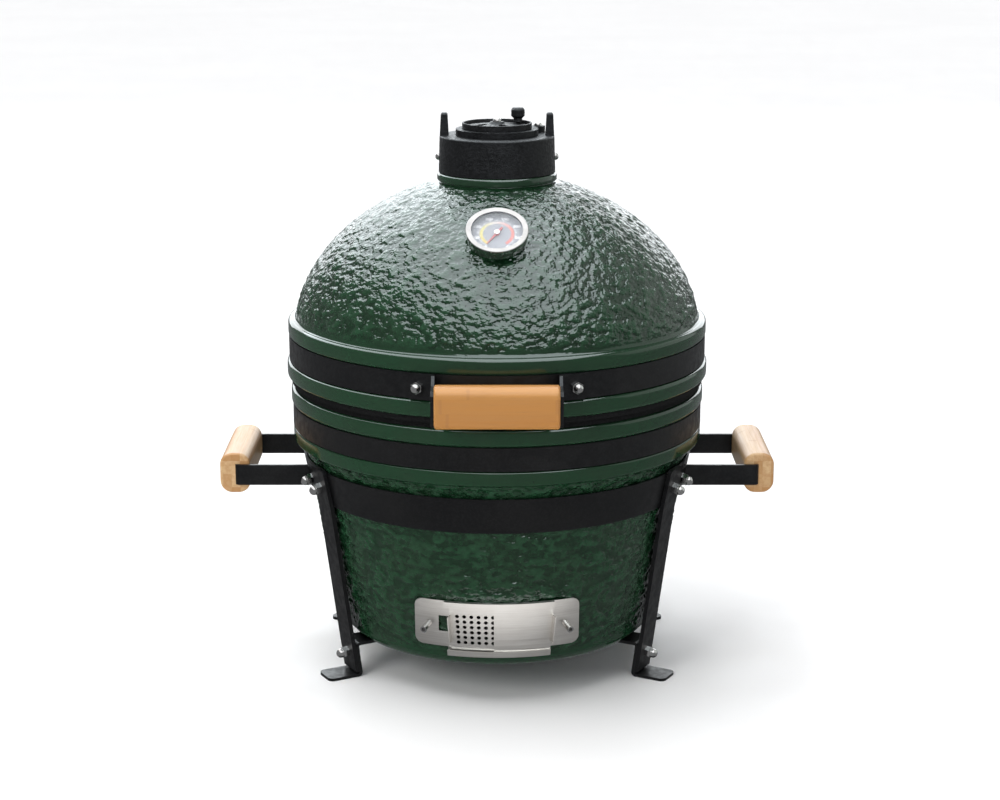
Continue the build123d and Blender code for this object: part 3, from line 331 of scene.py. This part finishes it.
def black_felt():
    made, tree, surface, where = material("black_felt", Roughness=0.95, Specular_IOR_Level=0.15)
    clouds = use(tree, CLOUDY, Coordinates=where, Size=50.0)
    fibres = grain(tree, where, 500.0, 5.0, 0.7, (1.0, 1.0, 2.5))
    colour = mix(tree, ramp(tree, fibres, 0.35, 0.65), (0.0025, 0.0025, 0.0026), (0.0095, 0.0095, 0.0098))
    tree.links.new(colour, surface.inputs["Base Color"])
    tree.links.new(ramp(tree, clouds["Fine"], 0.0, 1.0, 0.85, 1.0), surface.inputs["Roughness"])
    bump(tree, surface, fibres, 0.8, 0.0006)
    return made


LAYER_WIDTH = 8.5 * MM
STRIP_HEIGHT = 13.5 * MM


def from_middle(tree, value):
    """How far a repeating value is from the middle of its beat, 0 to 0.5."""
    return math(tree, "ABSOLUTE", math(tree, "SUBTRACT", math(tree, "FRACT", value), 0.5))


def bamboo(name, lengthwise, pale, deep):
    """Laminated bamboo. The strips and their fibres run along the given axis, 0 for X or 1 for Y."""
    constants = {"Roughness": 0.42, "Coat_Weight": 0.12, "Coat_Roughness": 0.25, "Specular_IOR_Level": 0.3}
    made, tree, surface, where = material(name, **constants)
    parts = add(tree, "ShaderNodeSeparateXYZ", None, Vector=where).outputs
    along, across = parts[lengthwise], parts[1 - lengthwise]
    at_layer = math(tree, "DIVIDE", across, LAYER_WIDTH)
    layer = math(tree, "FLOOR", at_layer)
    raised = math(tree, "ADD", parts[2], 0.0013)
    strip = math(tree, "FLOOR", math(tree, "DIVIDE", raised, STRIP_HEIGHT))
    tone = add(tree, "ShaderNodeCombineXYZ", None, X=layer, Y=strip).outputs[0]
    tone = add(tree, "ShaderNodeTexWhiteNoise", {"noise_dimensions": "3D"}, Vector=tone).outputs["Value"]
    drawn_out = times(tree, along, 0.035)
    stretched = add(tree, "ShaderNodeCombineXYZ", None, X=drawn_out, Y=across, Z=parts[2]).outputs[0]
    fibres = grain(tree, stretched, 1100.0, 4.0, 0.65)
    broad = grain(tree, stretched, 260.0, 3.0, 0.6)
    knot_at = math(tree, "MULTIPLY_ADD", along, 9.5, times(tree, tone, 7.0))
    knot = ramp(tree, from_middle(tree, knot_at), 0.006, 0.022, 1.0, 0.0)
    edge = from_middle(tree, at_layer)
    joint_line = ramp(tree, edge, 0.478, 0.495)
    colour = mix(tree, tone, deep, pale)
    colour = tint(tree, ramp(tree, broad, 0.35, 0.65), 0.45, colour, (0.42, 0.200, 0.058))
    colour = tint(tree, ramp(tree, fibres, 0.55, 0.75), 0.40, colour, (0.33, 0.15, 0.05))
    colour = tint(tree, knot, 0.30, colour, (0.30, 0.13, 0.045))
    colour = tint(tree, joint_line, 0.25, colour, (0.30, 0.14, 0.05))
    tree.links.new(colour, surface.inputs["Base Color"])
    tree.links.new(ramp(tree, fibres, 0.3, 0.7, 0.30, 0.46), surface.inputs["Roughness"])
    sunk = math(tree, "SUBTRACT", fibres, times(tree, joint_line, 0.6))
    bump(tree, surface, sunk, 0.12, 0.0003)
    return made


def window_glass():
    made, tree, surface, where = material("window_glass", Transmission_Weight=1.0, IOR=1.36, Roughness=0.02)
    smears = grain(tree, where, 90.0, 4.0, 0.6)
    tree.links.new(ramp(tree, smears, 0.45, 0.75, 0.015, 0.06), surface.inputs["Roughness"])
    return made


SCALE_END = radians(146)     # the scale's ends, either side of upright
PRINT_WHITE = (0.92, 0.93, 0.95)


def dial_print():
    """Pale dial with a colour band that runs from yellow through white to red, and two rings of ticks."""
    made, tree, surface, where = material("dial_face", Roughness=0.5)
    parts = add(tree, "ShaderNodeSeparateXYZ", None, Vector=where).outputs
    squares = [times(tree, parts[k], parts[k]) for k in (0, 1)]
    radius = math(tree, "SQRT", math(tree, "ADD", *squares))
    turn = math(tree, "ARCTAN2", parts[0], parts[1])
    share = math(tree, "DIVIDE", math(tree, "ADD", turn, SCALE_END), 2 * SCALE_END)

    def ring(low, high):
        soft = 0.00015
        past_low = ramp(tree, radius, low - soft, low + soft)
        before_high = ramp(tree, radius, high + soft, high - soft)
        return times(tree, past_low, before_high)

    on_scale = times(tree, math(tree, "GREATER_THAN", share, 0.0), math(tree, "LESS_THAN", share, 1.0))
    speck = grain(tree, where, 1500.0, 3.0, 0.6)
    ground = mix(tree, speck, (0.20, 0.21, 0.25), (0.26, 0.27, 0.31))
    hues = tree.nodes.new("ShaderNodeValToRGB")
    tree.links.new(share, hues.inputs[0])
    stops = hues.color_ramp.elements
    stops[0].position, stops[0].color = 0.0, (0.50, 0.37, 0.05, 1)
    stops[1].position, stops[1].color = 1.0, (0.52, 0.085, 0.065, 1)
    between = {0.30: (0.52, 0.48, 0.15, 1), 0.48: (0.56, 0.51, 0.50, 1), 0.70: (0.54, 0.17, 0.14, 1)}
    for place, tone in between.items():
        stops.new(place).color = tone
    band = times(tree, ring(0.0132, 0.0162), on_scale)
    colour = mix(tree, band, ground, hues.outputs[0])

    def ticks(count, width, low, high):
        beat = from_middle(tree, math(tree, "MULTIPLY_ADD", share, count, 0.5))
        line = ramp(tree, beat, width, width * 0.6)
        return times(tree, times(tree, line, ring(low, high)), on_scale)

    marks = math(tree, "MAXIMUM", ticks(14.0, 0.06, 0.0168, 0.0186), ticks(70.0, 0.14, 0.0168, 0.0176))
    colour = mix(tree, marks, colour, PRINT_WHITE)
    inner = ticks(7.0, 0.02, 0.0112, 0.0127)
    colour = mix(tree, inner, colour, PRINT_WHITE)
    tree.links.new(colour, surface.inputs["Base Color"])
    tree.links.new(ramp(tree, speck, 0.3, 0.7, 0.42, 0.58), surface.inputs["Roughness"])
    return made


def painted(name, tone, rough):
    made, tree, surface, where = material(name, Coat_Weight=0.1)
    clouds = use(tree, CLOUDY, Coordinates=where, Size=400.0)
    darker = tuple(0.8 * part for part in tone)
    tree.links.new(mix(tree, clouds["Broad"], darker, tone), surface.inputs["Base Color"])
    tree.links.new(ramp(tree, clouds["Fine"], 0.0, 1.0, rough, rough + 0.12), surface.inputs["Roughness"])
    return made


GLAZE = green_glaze()
CERAMIC = raw_ceramic()
DIAL = dial_print()
NEEDLE_RED = painted("needle_red", (0.50, 0.03, 0.035), 0.35)
NUMERAL_WHITE = painted("numeral_white", (0.90, 0.91, 0.93), 0.4)
finishes = {
    "green_glaze": GLAZE,
    "raw_ceramic": CERAMIC,
    "black_steel": black_steel(),
    "black_cast": black_cast(),
    "grate_iron": grate_iron(),
    "polished_steel": bright_steel("polished_steel", (0.66, 0.65, 0.635), 0.10, 700.0),
    "grate_steel": bright_steel("grate_steel", (0.60, 0.59, 0.58), 0.25, 500.0),
    "spring_wire": bright_steel("spring_wire", (0.42, 0.42, 0.43), 0.28, 600.0),
    "brushed_sheet": brushed_sheet(),
    # The front grip's bamboo is set darker than the side grips': partly its own redder tone, partly painted
    # shade for its upright front face.
    "bamboo": bamboo("bamboo_crosswise", 0, (0.50, 0.235, 0.058), (0.38, 0.152, 0.033)),
    "black_felt": black_felt(),
    "window_glass": window_glass(),
    "dial_face": DIAL,
    "needle_red": NEEDLE_RED,
}
side_bamboo = bamboo("bamboo_lengthwise", 1, (0.62, 0.42, 0.225), (0.45, 0.235, 0.09))
for part in frame["record"]["subparts"]:
    thing = nodes[part["node"]]
    finish = finishes[part["material_slot"]]
    if part["node"].startswith("side_grip"):
        finish = side_bamboo
    thing.data.materials.clear()
    thing.data.materials.append(finish)

nodes["thermometer_glass"].visible_shadow = False     # clear glass throws no shadow on the dial

# ---------------------------------------------------------------- glazed shells with dimpled relief
def round_corner(before, corner, after, radius, steps=6):
    """Points of an arc that rounds one corner of an outline."""
    b, c, a = (np.array(p, float) for p in (before, corner, after))
    u = (b - c) / np.linalg.norm(b - c)
    v = (a - c) / np.linalg.norm(a - c)
    half = 0.5 * np.arccos(np.clip(u @ v, -1, 1))
    reach = radius / np.tan(half)
    centre = c + (u + v) / np.linalg.norm(u + v) * radius / np.sin(half)
    first, last = c + u * reach - centre, c + v * reach - centre
    angle = np.arccos(np.clip(first @ last / radius ** 2, -1, 1))
    points = []
    for t in np.linspace(0, 1, steps):
        mixed = (np.sin((1 - t) * angle) * first + np.sin(t * angle) * last) / np.sin(angle)
        points.append(tuple(centre + mixed))
    return points


def outline(corners):
    """Outline from (radius, height, rounding) corners, in metres."""
    points = []
    for k, (r, z, rounding) in enumerate(corners):
        if rounding and 0 < k < len(corners) - 1:
            points += round_corner(corners[k - 1][:2], (r, z), corners[k + 1][:2], rounding)
        else:
            points.append((r, z))
    return points


def dome_radius(radius, rise, z, foot, power=1.9):
    share = min(1.0, max(0.0, (z - foot) / rise))
    return radius * (1 - share ** power) ** (1 / power)


def dome_points(radius, rise, foot, low_z, to_radius, step):
    """Even steps along the dome's outline."""
    top = foot + rise * (1 - (to_radius / radius) ** 1.9) ** (1 / 1.9)
    first, last = asin((low_z - foot) / rise), asin((top - foot) / rise)
    fine = [foot + rise * sin(first + (last - first) * k / 600) for k in range(601)]
    curve = np.array([(dome_radius(radius, rise, z, foot), z) for z in fine])
    return resample(curve, step)


def resample(curve, step):
    curve = np.asarray(curve, float)
    run = np.concatenate([[0], np.cumsum(np.linalg.norm(np.diff(curve, axis=0), axis=1))])
    count = max(2, int(round(run[-1] / step)) + 1)
    at = np.linspace(0, run[-1], count)
    return np.column_stack([np.interp(at, run, curve[:, 0]), np.interp(at, run, curve[:, 1])])


CREST = 0.94                 # highest value of the relief, which lies on the CAD surface


def hammered(point):
    """Height of the wavy glaze relief at a point: soft swells, small pebbles and short creases."""
    wander = noise.noise(point * 38.0) * 0.5
    p = Vector((point.x * 108 + wander, point.y * 108 + wander, point.z * 165))
    swell = noise.noise(p)
    pebble = noise.noise(Vector((p.y * 1.9 + 7.1, p.z * 1.9 - 3.3, p.x * 1.9 + 1.7)))
    crease = noise.noise(p * 1.25 + Vector((21.0, 4.0, -9.0)))
    where = noise.noise(p * 0.9 + Vector((-5.0, 31.0, 12.0)))
    broken = min(1.0, max(0.0, 0.7 + 3.0 * where))
    dip = 0.60 * broken * np.exp(-((crease / 0.15) ** 2))
    return 0.60 * np.tanh(3.0 * swell) + 0.34 * np.tanh(2.6 * pebble) - dip


def turned_shell(name, runs, turns, depth, skin_from=0):
    """Closed turned shell. Runs are (points, relief) stretches of one closed outline, in order.

    Relief is 0 or 1, and the dimples fade out near a stretch's ends.
    Faces from run skin_from on are bare ceramic."""
    rows, weights, owner = [], [], []
    for number, (points, relief) in enumerate(runs):
        points = [tuple(p) for p in points]
        if rows and np.allclose(rows[-1], points[0], atol=1e-6):
            points = points[1:]
        count = len(points)
        for k, p in enumerate(points):
            edge = min(k, count - 1 - k) / 7.0
            rows.append(p)
            weights.append(relief * min(1.0, edge) ** 1.2)
            owner.append(number)
    if np.allclose(rows[0], rows[-1], atol=1e-6):
        rows, weights, owner = rows[:-1], weights[:-1], owner[:-1]
    rows = np.array(rows)
    ahead, behind = np.roll(rows, -1, axis=0), np.roll(rows, 1, axis=0)
    tangent = ahead - behind
    tangent /= np.linalg.norm(tangent, axis=1)[:, None] + 1e-12
    normal = np.column_stack([tangent[:, 1], -tangent[:, 0]])
    normal *= np.where(normal[:, :1] < 0, -1.0, 1.0)
    angles = np.linspace(0, 2 * pi, turns, endpoint=False)
    count = len(rows)
    places = np.zeros((count, turns, 3))
    heights = np.zeros((count, turns))
    for i in range(count):
        r, z = rows[i]
        ring = np.column_stack([r * np.cos(angles), r * np.sin(angles), np.full(turns, z)])
        if weights[i] > 0:
            h = np.array([hammered(Vector(p)) for p in ring]) * weights[i]
            heights[i] = h
            push = (h - CREST) * depth
            ring[:, 0] += push * normal[i, 0] * np.cos(angles)
            ring[:, 1] += push * normal[i, 0] * np.sin(angles)
            ring[:, 2] += push * normal[i, 1]
        places[i] = ring
    mesh = bpy.data.meshes.new(name)
    i, j = np.meshgrid(np.arange(count), np.arange(turns), indexing="ij")
    i2, j2 = (i + 1) % count, (j + 1) % turns
    corners = [i * turns + j, i * turns + j2, i2 * turns + j2, i2 * turns + j]
    faces = np.stack(corners, axis=-1).reshape(-1, 4)
    mesh.from_pydata(places.reshape(-1, 3).tolist(), [], faces.tolist())
    bare = np.array(owner) >= skin_from
    mesh.materials.append(GLAZE)
    mesh.materials.append(CERAMIC)
    slots = np.repeat(bare.astype(np.int32), turns)
    mesh.polygons.foreach_set("material_index", slots)
    mesh.polygons.foreach_set("use_smooth", [True] * len(mesh.polygons))
    dimpled = np.repeat(np.array(weights, np.float32), turns)
    for key, values in (("relief", heights.reshape(-1).astype(np.float32)), ("dimpled", dimpled)):
        mesh.attributes.new(key, "FLOAT", "POINT").data.foreach_set("value", values)
    mesh.update()
    made = bpy.data.objects.new(name, mesh)
    bpy.context.scene.collection.objects.link(made)
    return made


def cut_with(target, cutter):
    """Takes the cutter's volume out of the target for good."""
    step = target.modifiers.new("cut", "BOOLEAN")
    step.operation = "DIFFERENCE"
    step.solver = "MANIFOLD"
    step.object = cutter
    bpy.context.view_layer.update()
    shown = bpy.context.evaluated_depsgraph_get()
    after = target.evaluated_get(shown)
    result = bpy.data.meshes.new_from_object(after, preserve_all_data_layers=True, depsgraph=shown)
    target.modifiers.clear()
    target.data = result
    bpy.data.objects.remove(cutter)


def block(name, low, high):
    mesh = bpy.data.meshes.new(name)
    shape = bmesh.new()
    bmesh.ops.create_cube(shape, size=1.0)
    shape.to_mesh(mesh)
    shape.free()
    low, high = Vector(low), Vector(high)
    mesh.transform(Matrix.Translation((low + high) / 2) @ Matrix.Diagonal((*(high - low), 1)))
    made = bpy.data.objects.new(name, mesh)
    bpy.context.scene.collection.objects.link(made)
    return made


STEP = 1.15 * MM
TURNS = 1180
RELIEF = 0.95 * MM

RIDGE_H = 16 * MM            # height of the smooth ridge either side of the seam
BAND_SINK = 4.2 * MM         # depth of the lid's groove for its band
foot = SEAM + 45.2 * MM
ridge_top = SEAM + 57 * MM
DOME_R, DOME_RISE = 202.4 * MM, 154.5 * MM
INNER_R, INNER_RISE = 185.4 * MM, 139.5 * MM
NECK_BORE = 51.4 * MM
lid_outside = outline(
    [
        (INNER_R, SEAM, 0),
        (LID_R, SEAM, 3.5 * MM),
        (LID_R, SEAM + RIDGE_H, 3.5 * MM),
        (LID_R - BAND_SINK, SEAM + RIDGE_H, 0.6 * MM),
        (LID_R - BAND_SINK, SEAM + 42 * MM, 0.6 * MM),
        (LID_R - 1.5 * MM, SEAM + 42 * MM, 2.0 * MM),
        (LID_R - 1.5 * MM, ridge_top, 4.0 * MM),
        (dome_radius(DOME_R, DOME_RISE, ridge_top, foot), ridge_top, 0),
    ]
)
dome = dome_points(DOME_R, DOME_RISE, foot, ridge_top, 57.0 * MM, STEP)
neck_low, neck_high = SEAM + 191 * MM, SEAM + 200 * MM
neck = outline(
    [
        tuple(dome[-1]) + (0,),
        (59.0 * MM, neck_low + 1.5 * MM, 1.0 * MM),
        (59.0 * MM, neck_high, 3.0 * MM),
        (NECK_BORE, neck_high, 0.5 * MM),
        (NECK_BORE, lid_high.z, 0),
    ]
)
inner = dome_points(INNER_R, INNER_RISE, foot, foot, 40.0 * MM, 6 * MM)[::-1]
lid_shell = turned_shell(
    "lid_shell_glazed",
    [
        (lid_outside, 0),
        (dome, 1),
        (neck, 0),
        ([(NECK_BORE, lid_high.z), (40.0 * MM, lid_high.z)], 0),
        (inner, 0),
        ([(INNER_R, foot), (INNER_R, SEAM)], 0),
    ],
    TURNS,
    RELIEF,
    skin_from=3,
)
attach(lid_shell, "lid")
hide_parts("lid_dome")

CONE_TOP, CONE_TOP_R = 110 * MM, 174.8 * MM
CONE_LOW, CONE_LOW_R = 47 * MM, 160.5 * MM
WAIST_Z = 230 * MM           # where the smooth rim ends and the dimpled body starts
ring_low, ring_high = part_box("stand_ring")
waist = np.array(
    [
        (BASE_R - 5.0 * MM, WAIST_Z),
        (193.0 * MM, ring_high.z),
        (186.0 * MM, ring_low.z),
        (CONE_TOP_R, CONE_TOP),
        (CONE_LOW_R, CONE_LOW),
    ]
)


def smooth_curve(points, count=60):
    """Catmull-Rom curve through the points."""
    padded = np.vstack([2 * points[0] - points[1], points, 2 * points[-1] - points[-2]])
    curve = []
    for k in range(1, len(padded) - 2):
        p0, p1, p2, p3 = padded[k - 1 : k + 3]
        for t in np.linspace(0, 1, count, endpoint=False):
            straight = 2 * p1 + (p2 - p0) * t
            bend = (2 * p0 - 5 * p1 + 4 * p2 - p3) * t ** 2
            twist = (3 * p1 - p0 - 3 * p2 + p3) * t ** 3
            curve.append(0.5 * (straight + bend + twist))
    curve.append(points[-1])
    return np.array(curve)


base_rims = outline(
    [
        (BASE_R - 19 * MM, BASE_TOP, 0),
        (BASE_R, BASE_TOP, 3.5 * MM),
        (BASE_R, BASE_TOP - 16 * MM, 3.5 * MM),
        (BASE_R - 3.5 * MM, BASE_TOP - 16 * MM, 0.6 * MM),
        (BASE_R - 3.5 * MM, BASE_TOP - 40 * MM, 0.6 * MM),
        (BASE_R - 1.5 * MM, BASE_TOP - 40 * MM, 2.0 * MM),
        (BASE_R - 1.5 * MM, WAIST_Z, 2.5 * MM),
        (BASE_R - 5.0 * MM, WAIST_Z, 0),
    ]
)
lower = resample(smooth_curve(waist), STEP)
under = outline(
    [
        tuple(lower[-1]) + (0,),
        (150.5 * MM, BASE_BOTTOM, 5.0 * MM),
        (20.0 * MM, BASE_BOTTOM, 0),
    ]
)
floor_z = BASE_BOTTOM + 19 * MM
base_inside = [
    (20.0 * MM, floor_z),
    (130.5 * MM, floor_z),
    (144.5 * MM, floor_z + 14 * MM),
    (156.8 * MM, CONE_TOP),
    (BASE_R - 21.0 * MM, WAIST_Z),
    (BASE_R - 19.0 * MM, BASE_TOP),
]
base_shell = turned_shell(
    "base_shell_glazed",
    [(base_rims, 0), (lower, 1), (under, 0), (base_inside, 0)],
    TURNS,
    RELIEF,
    skin_from=3,
)
window = block("window_cut", (-42 * MM, -200 * MM, 58 * MM), (42 * MM, -120 * MM, 98 * MM))
cut_with(base_shell, window)
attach(base_shell, "base")
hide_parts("base_shell")


def dial_mark(text, angle, radius, size):
    """Raised numeral on the dial, upright at its place on the scale."""
    curve = bpy.data.curves.new("numeral", "FONT")
    curve.body = text
    curve.size = size
    curve.extrude = 0.00004
    curve.offset = 0.00012
    curve.align_x = "CENTER"
    curve.align_y = "CENTER"
    flat = bpy.data.objects.new("numeral", curve)
    bpy.context.scene.collection.objects.link(flat)
    flat.location = (radius * sin(angle), radius * cos(angle), 0)
    bpy.context.view_layer.update()
    mesh = bpy.data.meshes.new_from_object(flat.evaluated_get(bpy.context.evaluated_depsgraph_get()))
    mesh.transform(flat.matrix_world)
    bpy.data.objects.remove(flat)
    return mesh


# ---------------------------------------------------------------- hinge springs as separate pieces
def twisted_spring(side):
    """The torsion spring as its own piece, a copy of the CAD spring in spring wire."""
    node = nodes["hinge_spring_" + side]
    made = bpy.data.objects.new("spring_" + side, node.data.copy())
    bpy.context.scene.collection.objects.link(made)
    made.data.materials.clear()
    made.data.materials.append(finishes["spring_wire"])
    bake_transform(made)
    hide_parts(node.name)


twisted_spring("left")
twisted_spring("right")


# ---------------------------------------------------------------- dial with printed scale and numerals
gauge_up = Vector((0, 0, 1)) - GAUGE_OUT * GAUGE_OUT.z
gauge_up.normalize()
gauge_right = gauge_up.cross(GAUGE_OUT)
gauge_frame = Matrix((gauge_right, gauge_up, GAUGE_OUT)).transposed().to_4x4()
gauge_frame.translation = GAUGE


def spin(name, points, sides, tone):
    """Closed turned piece from (radius, height) points, standing on the gauge's own axis."""
    mesh = bpy.data.meshes.new(name)
    shape = bmesh.new()
    rings = []
    for r, z in points:
        if r == 0:
            rings.append([shape.verts.new((0, 0, z))])
        else:
            around = np.linspace(0, 2 * pi, sides, endpoint=False)
            rings.append([shape.verts.new((r * cos(a), r * sin(a), z)) for a in around])
    for one, two in zip(rings, rings[1:]):
        for k in range(sides):
            n = (k + 1) % sides
            if len(one) == 1:
                shape.faces.new((one[0], two[k], two[n]))
            elif len(two) == 1:
                shape.faces.new((one[k], one[n], two[0]))
            else:
                shape.faces.new((one[k], one[n], two[n], two[k]))
    bmesh.ops.recalc_face_normals(shape, faces=shape.faces)
    shape.to_mesh(mesh)
    shape.free()
    mesh.materials.append(tone)
    made = bpy.data.objects.new(name, mesh)
    bpy.context.scene.collection.objects.link(made)
    return made


DIAL_LOW, DIAL_TOP, DIAL_R = 4.85 * MM, 5.56 * MM, 26.6 * MM
disc = [(0, DIAL_LOW), (DIAL_R, DIAL_LOW), (DIAL_R, DIAL_TOP), (0, DIAL_TOP)]
dial = spin("dial_printed", disc, 96, DIAL)
dial.matrix_world = gauge_frame
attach(dial, "lid")
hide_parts("thermometer_dial")
values = ["50", "100", "150", "200", "250", "300", "350", "400"]
for k, text in enumerate(values):
    angle = SCALE_END * (2 * k / (len(values) - 1) - 1)
    mesh = dial_mark(text, angle, 20.6 * MM, 4.5 * MM)
    mesh.transform(Matrix.Translation((0, 0, DIAL_TOP + 0.04 * MM)))
    mesh.materials.clear()
    mesh.materials.append(NUMERAL_WHITE)
    numeral = bpy.data.objects.new("numeral_" + text, mesh)
    bpy.context.scene.collection.objects.link(numeral)
    numeral.matrix_world = gauge_frame
    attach(numeral, "lid")

cap = [(0, 8.42), (2.7, 8.42), (2.7, 8.8), (2.2, 9.0), (0, 9.05)]
hub = spin("needle_hub_cap", [(r * MM, z * MM) for r, z in cap], 40, NUMERAL_WHITE)
hub.matrix_world = gauge_frame
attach(hub, "needle")


# ---------------------------------------------------------------- smooth shading on turned ceramic
for name in ("firebox", "fire_ring"):
    for face in nodes[name].data.polygons:
        face.use_smooth = True


# ---------------------------------------------------------------- floor, light and camera
def pale_floor():
    made, tree, surface, where = material("pale_floor", Roughness=0.6, Specular_IOR_Level=0.08)
    clouds = use(tree, CLOUDY, Coordinates=where, Size=1.5)
    speckle = grain(tree, where, 160.0, 4.0, 0.6)
    colour = mix(tree, clouds["Broad"], (0.93, 0.93, 0.933), (0.95, 0.95, 0.952))
    tree.links.new(colour, surface.inputs["Base Color"])
    tree.links.new(ramp(tree, clouds["Fine"], 0.0, 1.0, 0.5, 0.65), surface.inputs["Roughness"])
    bump(tree, surface, speckle, 0.03, 0.0004)
    return made


def flat_floor(reach):
    mesh = bpy.data.meshes.new("studio_floor")
    corners = [(-reach, -reach, 0), (reach, -reach, 0), (reach, reach, 0), (-reach, reach, 0)]
    mesh.from_pydata(corners, [], [(0, 1, 2, 3)])
    mesh.materials.append(pale_floor())
    made = bpy.data.objects.new("studio_floor", mesh)
    bpy.context.scene.collection.objects.link(made)
    return made


def lamp(name, place, aim, size, power, tone=(1, 1, 1), turn=0.0):
    data = bpy.data.lights.new(name, "AREA")
    data.shape = "RECTANGLE"
    data.size, data.size_y = size
    data.energy = power
    data.color = tone
    made = bpy.data.objects.new(name, data)
    bpy.context.scene.collection.objects.link(made)
    made.location = place
    facing = (Vector(aim) - Vector(place)).to_track_quat("-Z", "Y").to_matrix()
    made.rotation_euler = (facing @ Matrix.Rotation(turn, 3, "Z")).to_euler()
    return made


floor = flat_floor(40.0)
floor.visible_glossy = False
world = bpy.data.worlds.new("studio")
bpy.context.scene.world = world
world.use_nodes = True
world.node_tree.nodes["Background"].inputs[0].default_value = (0.95, 0.97, 1.0, 1)
world.node_tree.nodes["Background"].inputs[1].default_value = 0.24

sun = bpy.data.objects.new("soft_sun", bpy.data.lights.new("soft_sun", "SUN"))
bpy.context.scene.collection.objects.link(sun)
sun.data.energy = 2.85
sun.data.angle = radians(70)
sun.rotation_euler = (radians(-8), radians(-10), 0)
sun.visible_glossy = False
key = lamp("key_front_left", (-1.5, -1.9, 1.5), (0, 0, 0.3), (1.2, 1.2), 26, (1.0, 0.995, 0.98))
key.visible_glossy = False
fill = lamp("front_fill", (0.6, -2.8, 1.0), (0, 0, 0.25), (1.8, 1.0), 9)
fill.visible_glossy = False
panel = {"place": (-0.43, 0.0, 2.4), "aim": (-0.43, 0.0, 0.0), "size": (3.3, 9.0), "turn": radians(21)}
sky = lamp("overhead_sheen", power=490, tone=(0.88, 0.96, 1.0), **panel)
sky.visible_diffuse = False
sky.visible_transmission = False
steel_sky = lamp("steel_sheen", power=125, tone=(0.97, 0.98, 1.0), **panel)
steel_sky.visible_diffuse = False
side_card = lamp("right_sheen", (3.0, 0.6, 1.4), (0, 0, 0.4), (4.2, 3.0), 24, (0.92, 1.0, 0.95))
side_card.visible_diffuse = False
back_card = lamp("back_sheen", (0, 5.2, 1.8), (0, 0, 1.2), (7.0, 2.6), 170, (0.93, 0.97, 1.0))
back_card.visible_diffuse = False

# Bright fittings mirror a dimmer panel than the glaze does.
# The sheet steel mirrors the pale floor in front of it.
polished_parts = bpy.data.collections.new("polished_parts")
other_parts = bpy.data.collections.new("other_parts")
parts = frame["record"]["subparts"]
polished = [part["node"] for part in parts if part["material_slot"] == "polished_steel"]
for thing in bpy.context.scene.objects:
    if thing.type == "MESH":
        chosen = polished_parts if thing.name in polished else other_parts
        chosen.objects.link(thing)
sky.light_linking.receiver_collection = other_parts
steel_sky.light_linking.receiver_collection = polished_parts
steel_parts = bpy.data.collections.new("steel_parts")
for part in parts:
    if part["material_slot"] == "brushed_sheet":
        steel_parts.objects.link(nodes[part["node"]])
for place, size in (((0, -1.1, 0.004), (3.0, 1.7)), ((0, 1.1, 0.004), (3.0, 1.7))):
    glow = lamp("floor_glow", place, (place[0], place[1], 3.0), size, 4.8 * size[0] * size[1])
    glow.visible_diffuse = False
    glow.visible_camera = False
    glow.light_linking.receiver_collection = steel_parts

camera = bpy.data.objects.new("camera", bpy.data.cameras.new("camera"))
bpy.context.scene.collection.objects.link(camera)
camera.location = (0, -2.129, 0.788)
camera.rotation_euler = (radians(90 - 13.86), 0, 0)
camera.data.lens = 78
camera.data.sensor_width = 36
camera.data.shift_x = 0.003
bpy.context.scene.camera = camera
bpy.context.scene.view_settings.view_transform = "Standard"
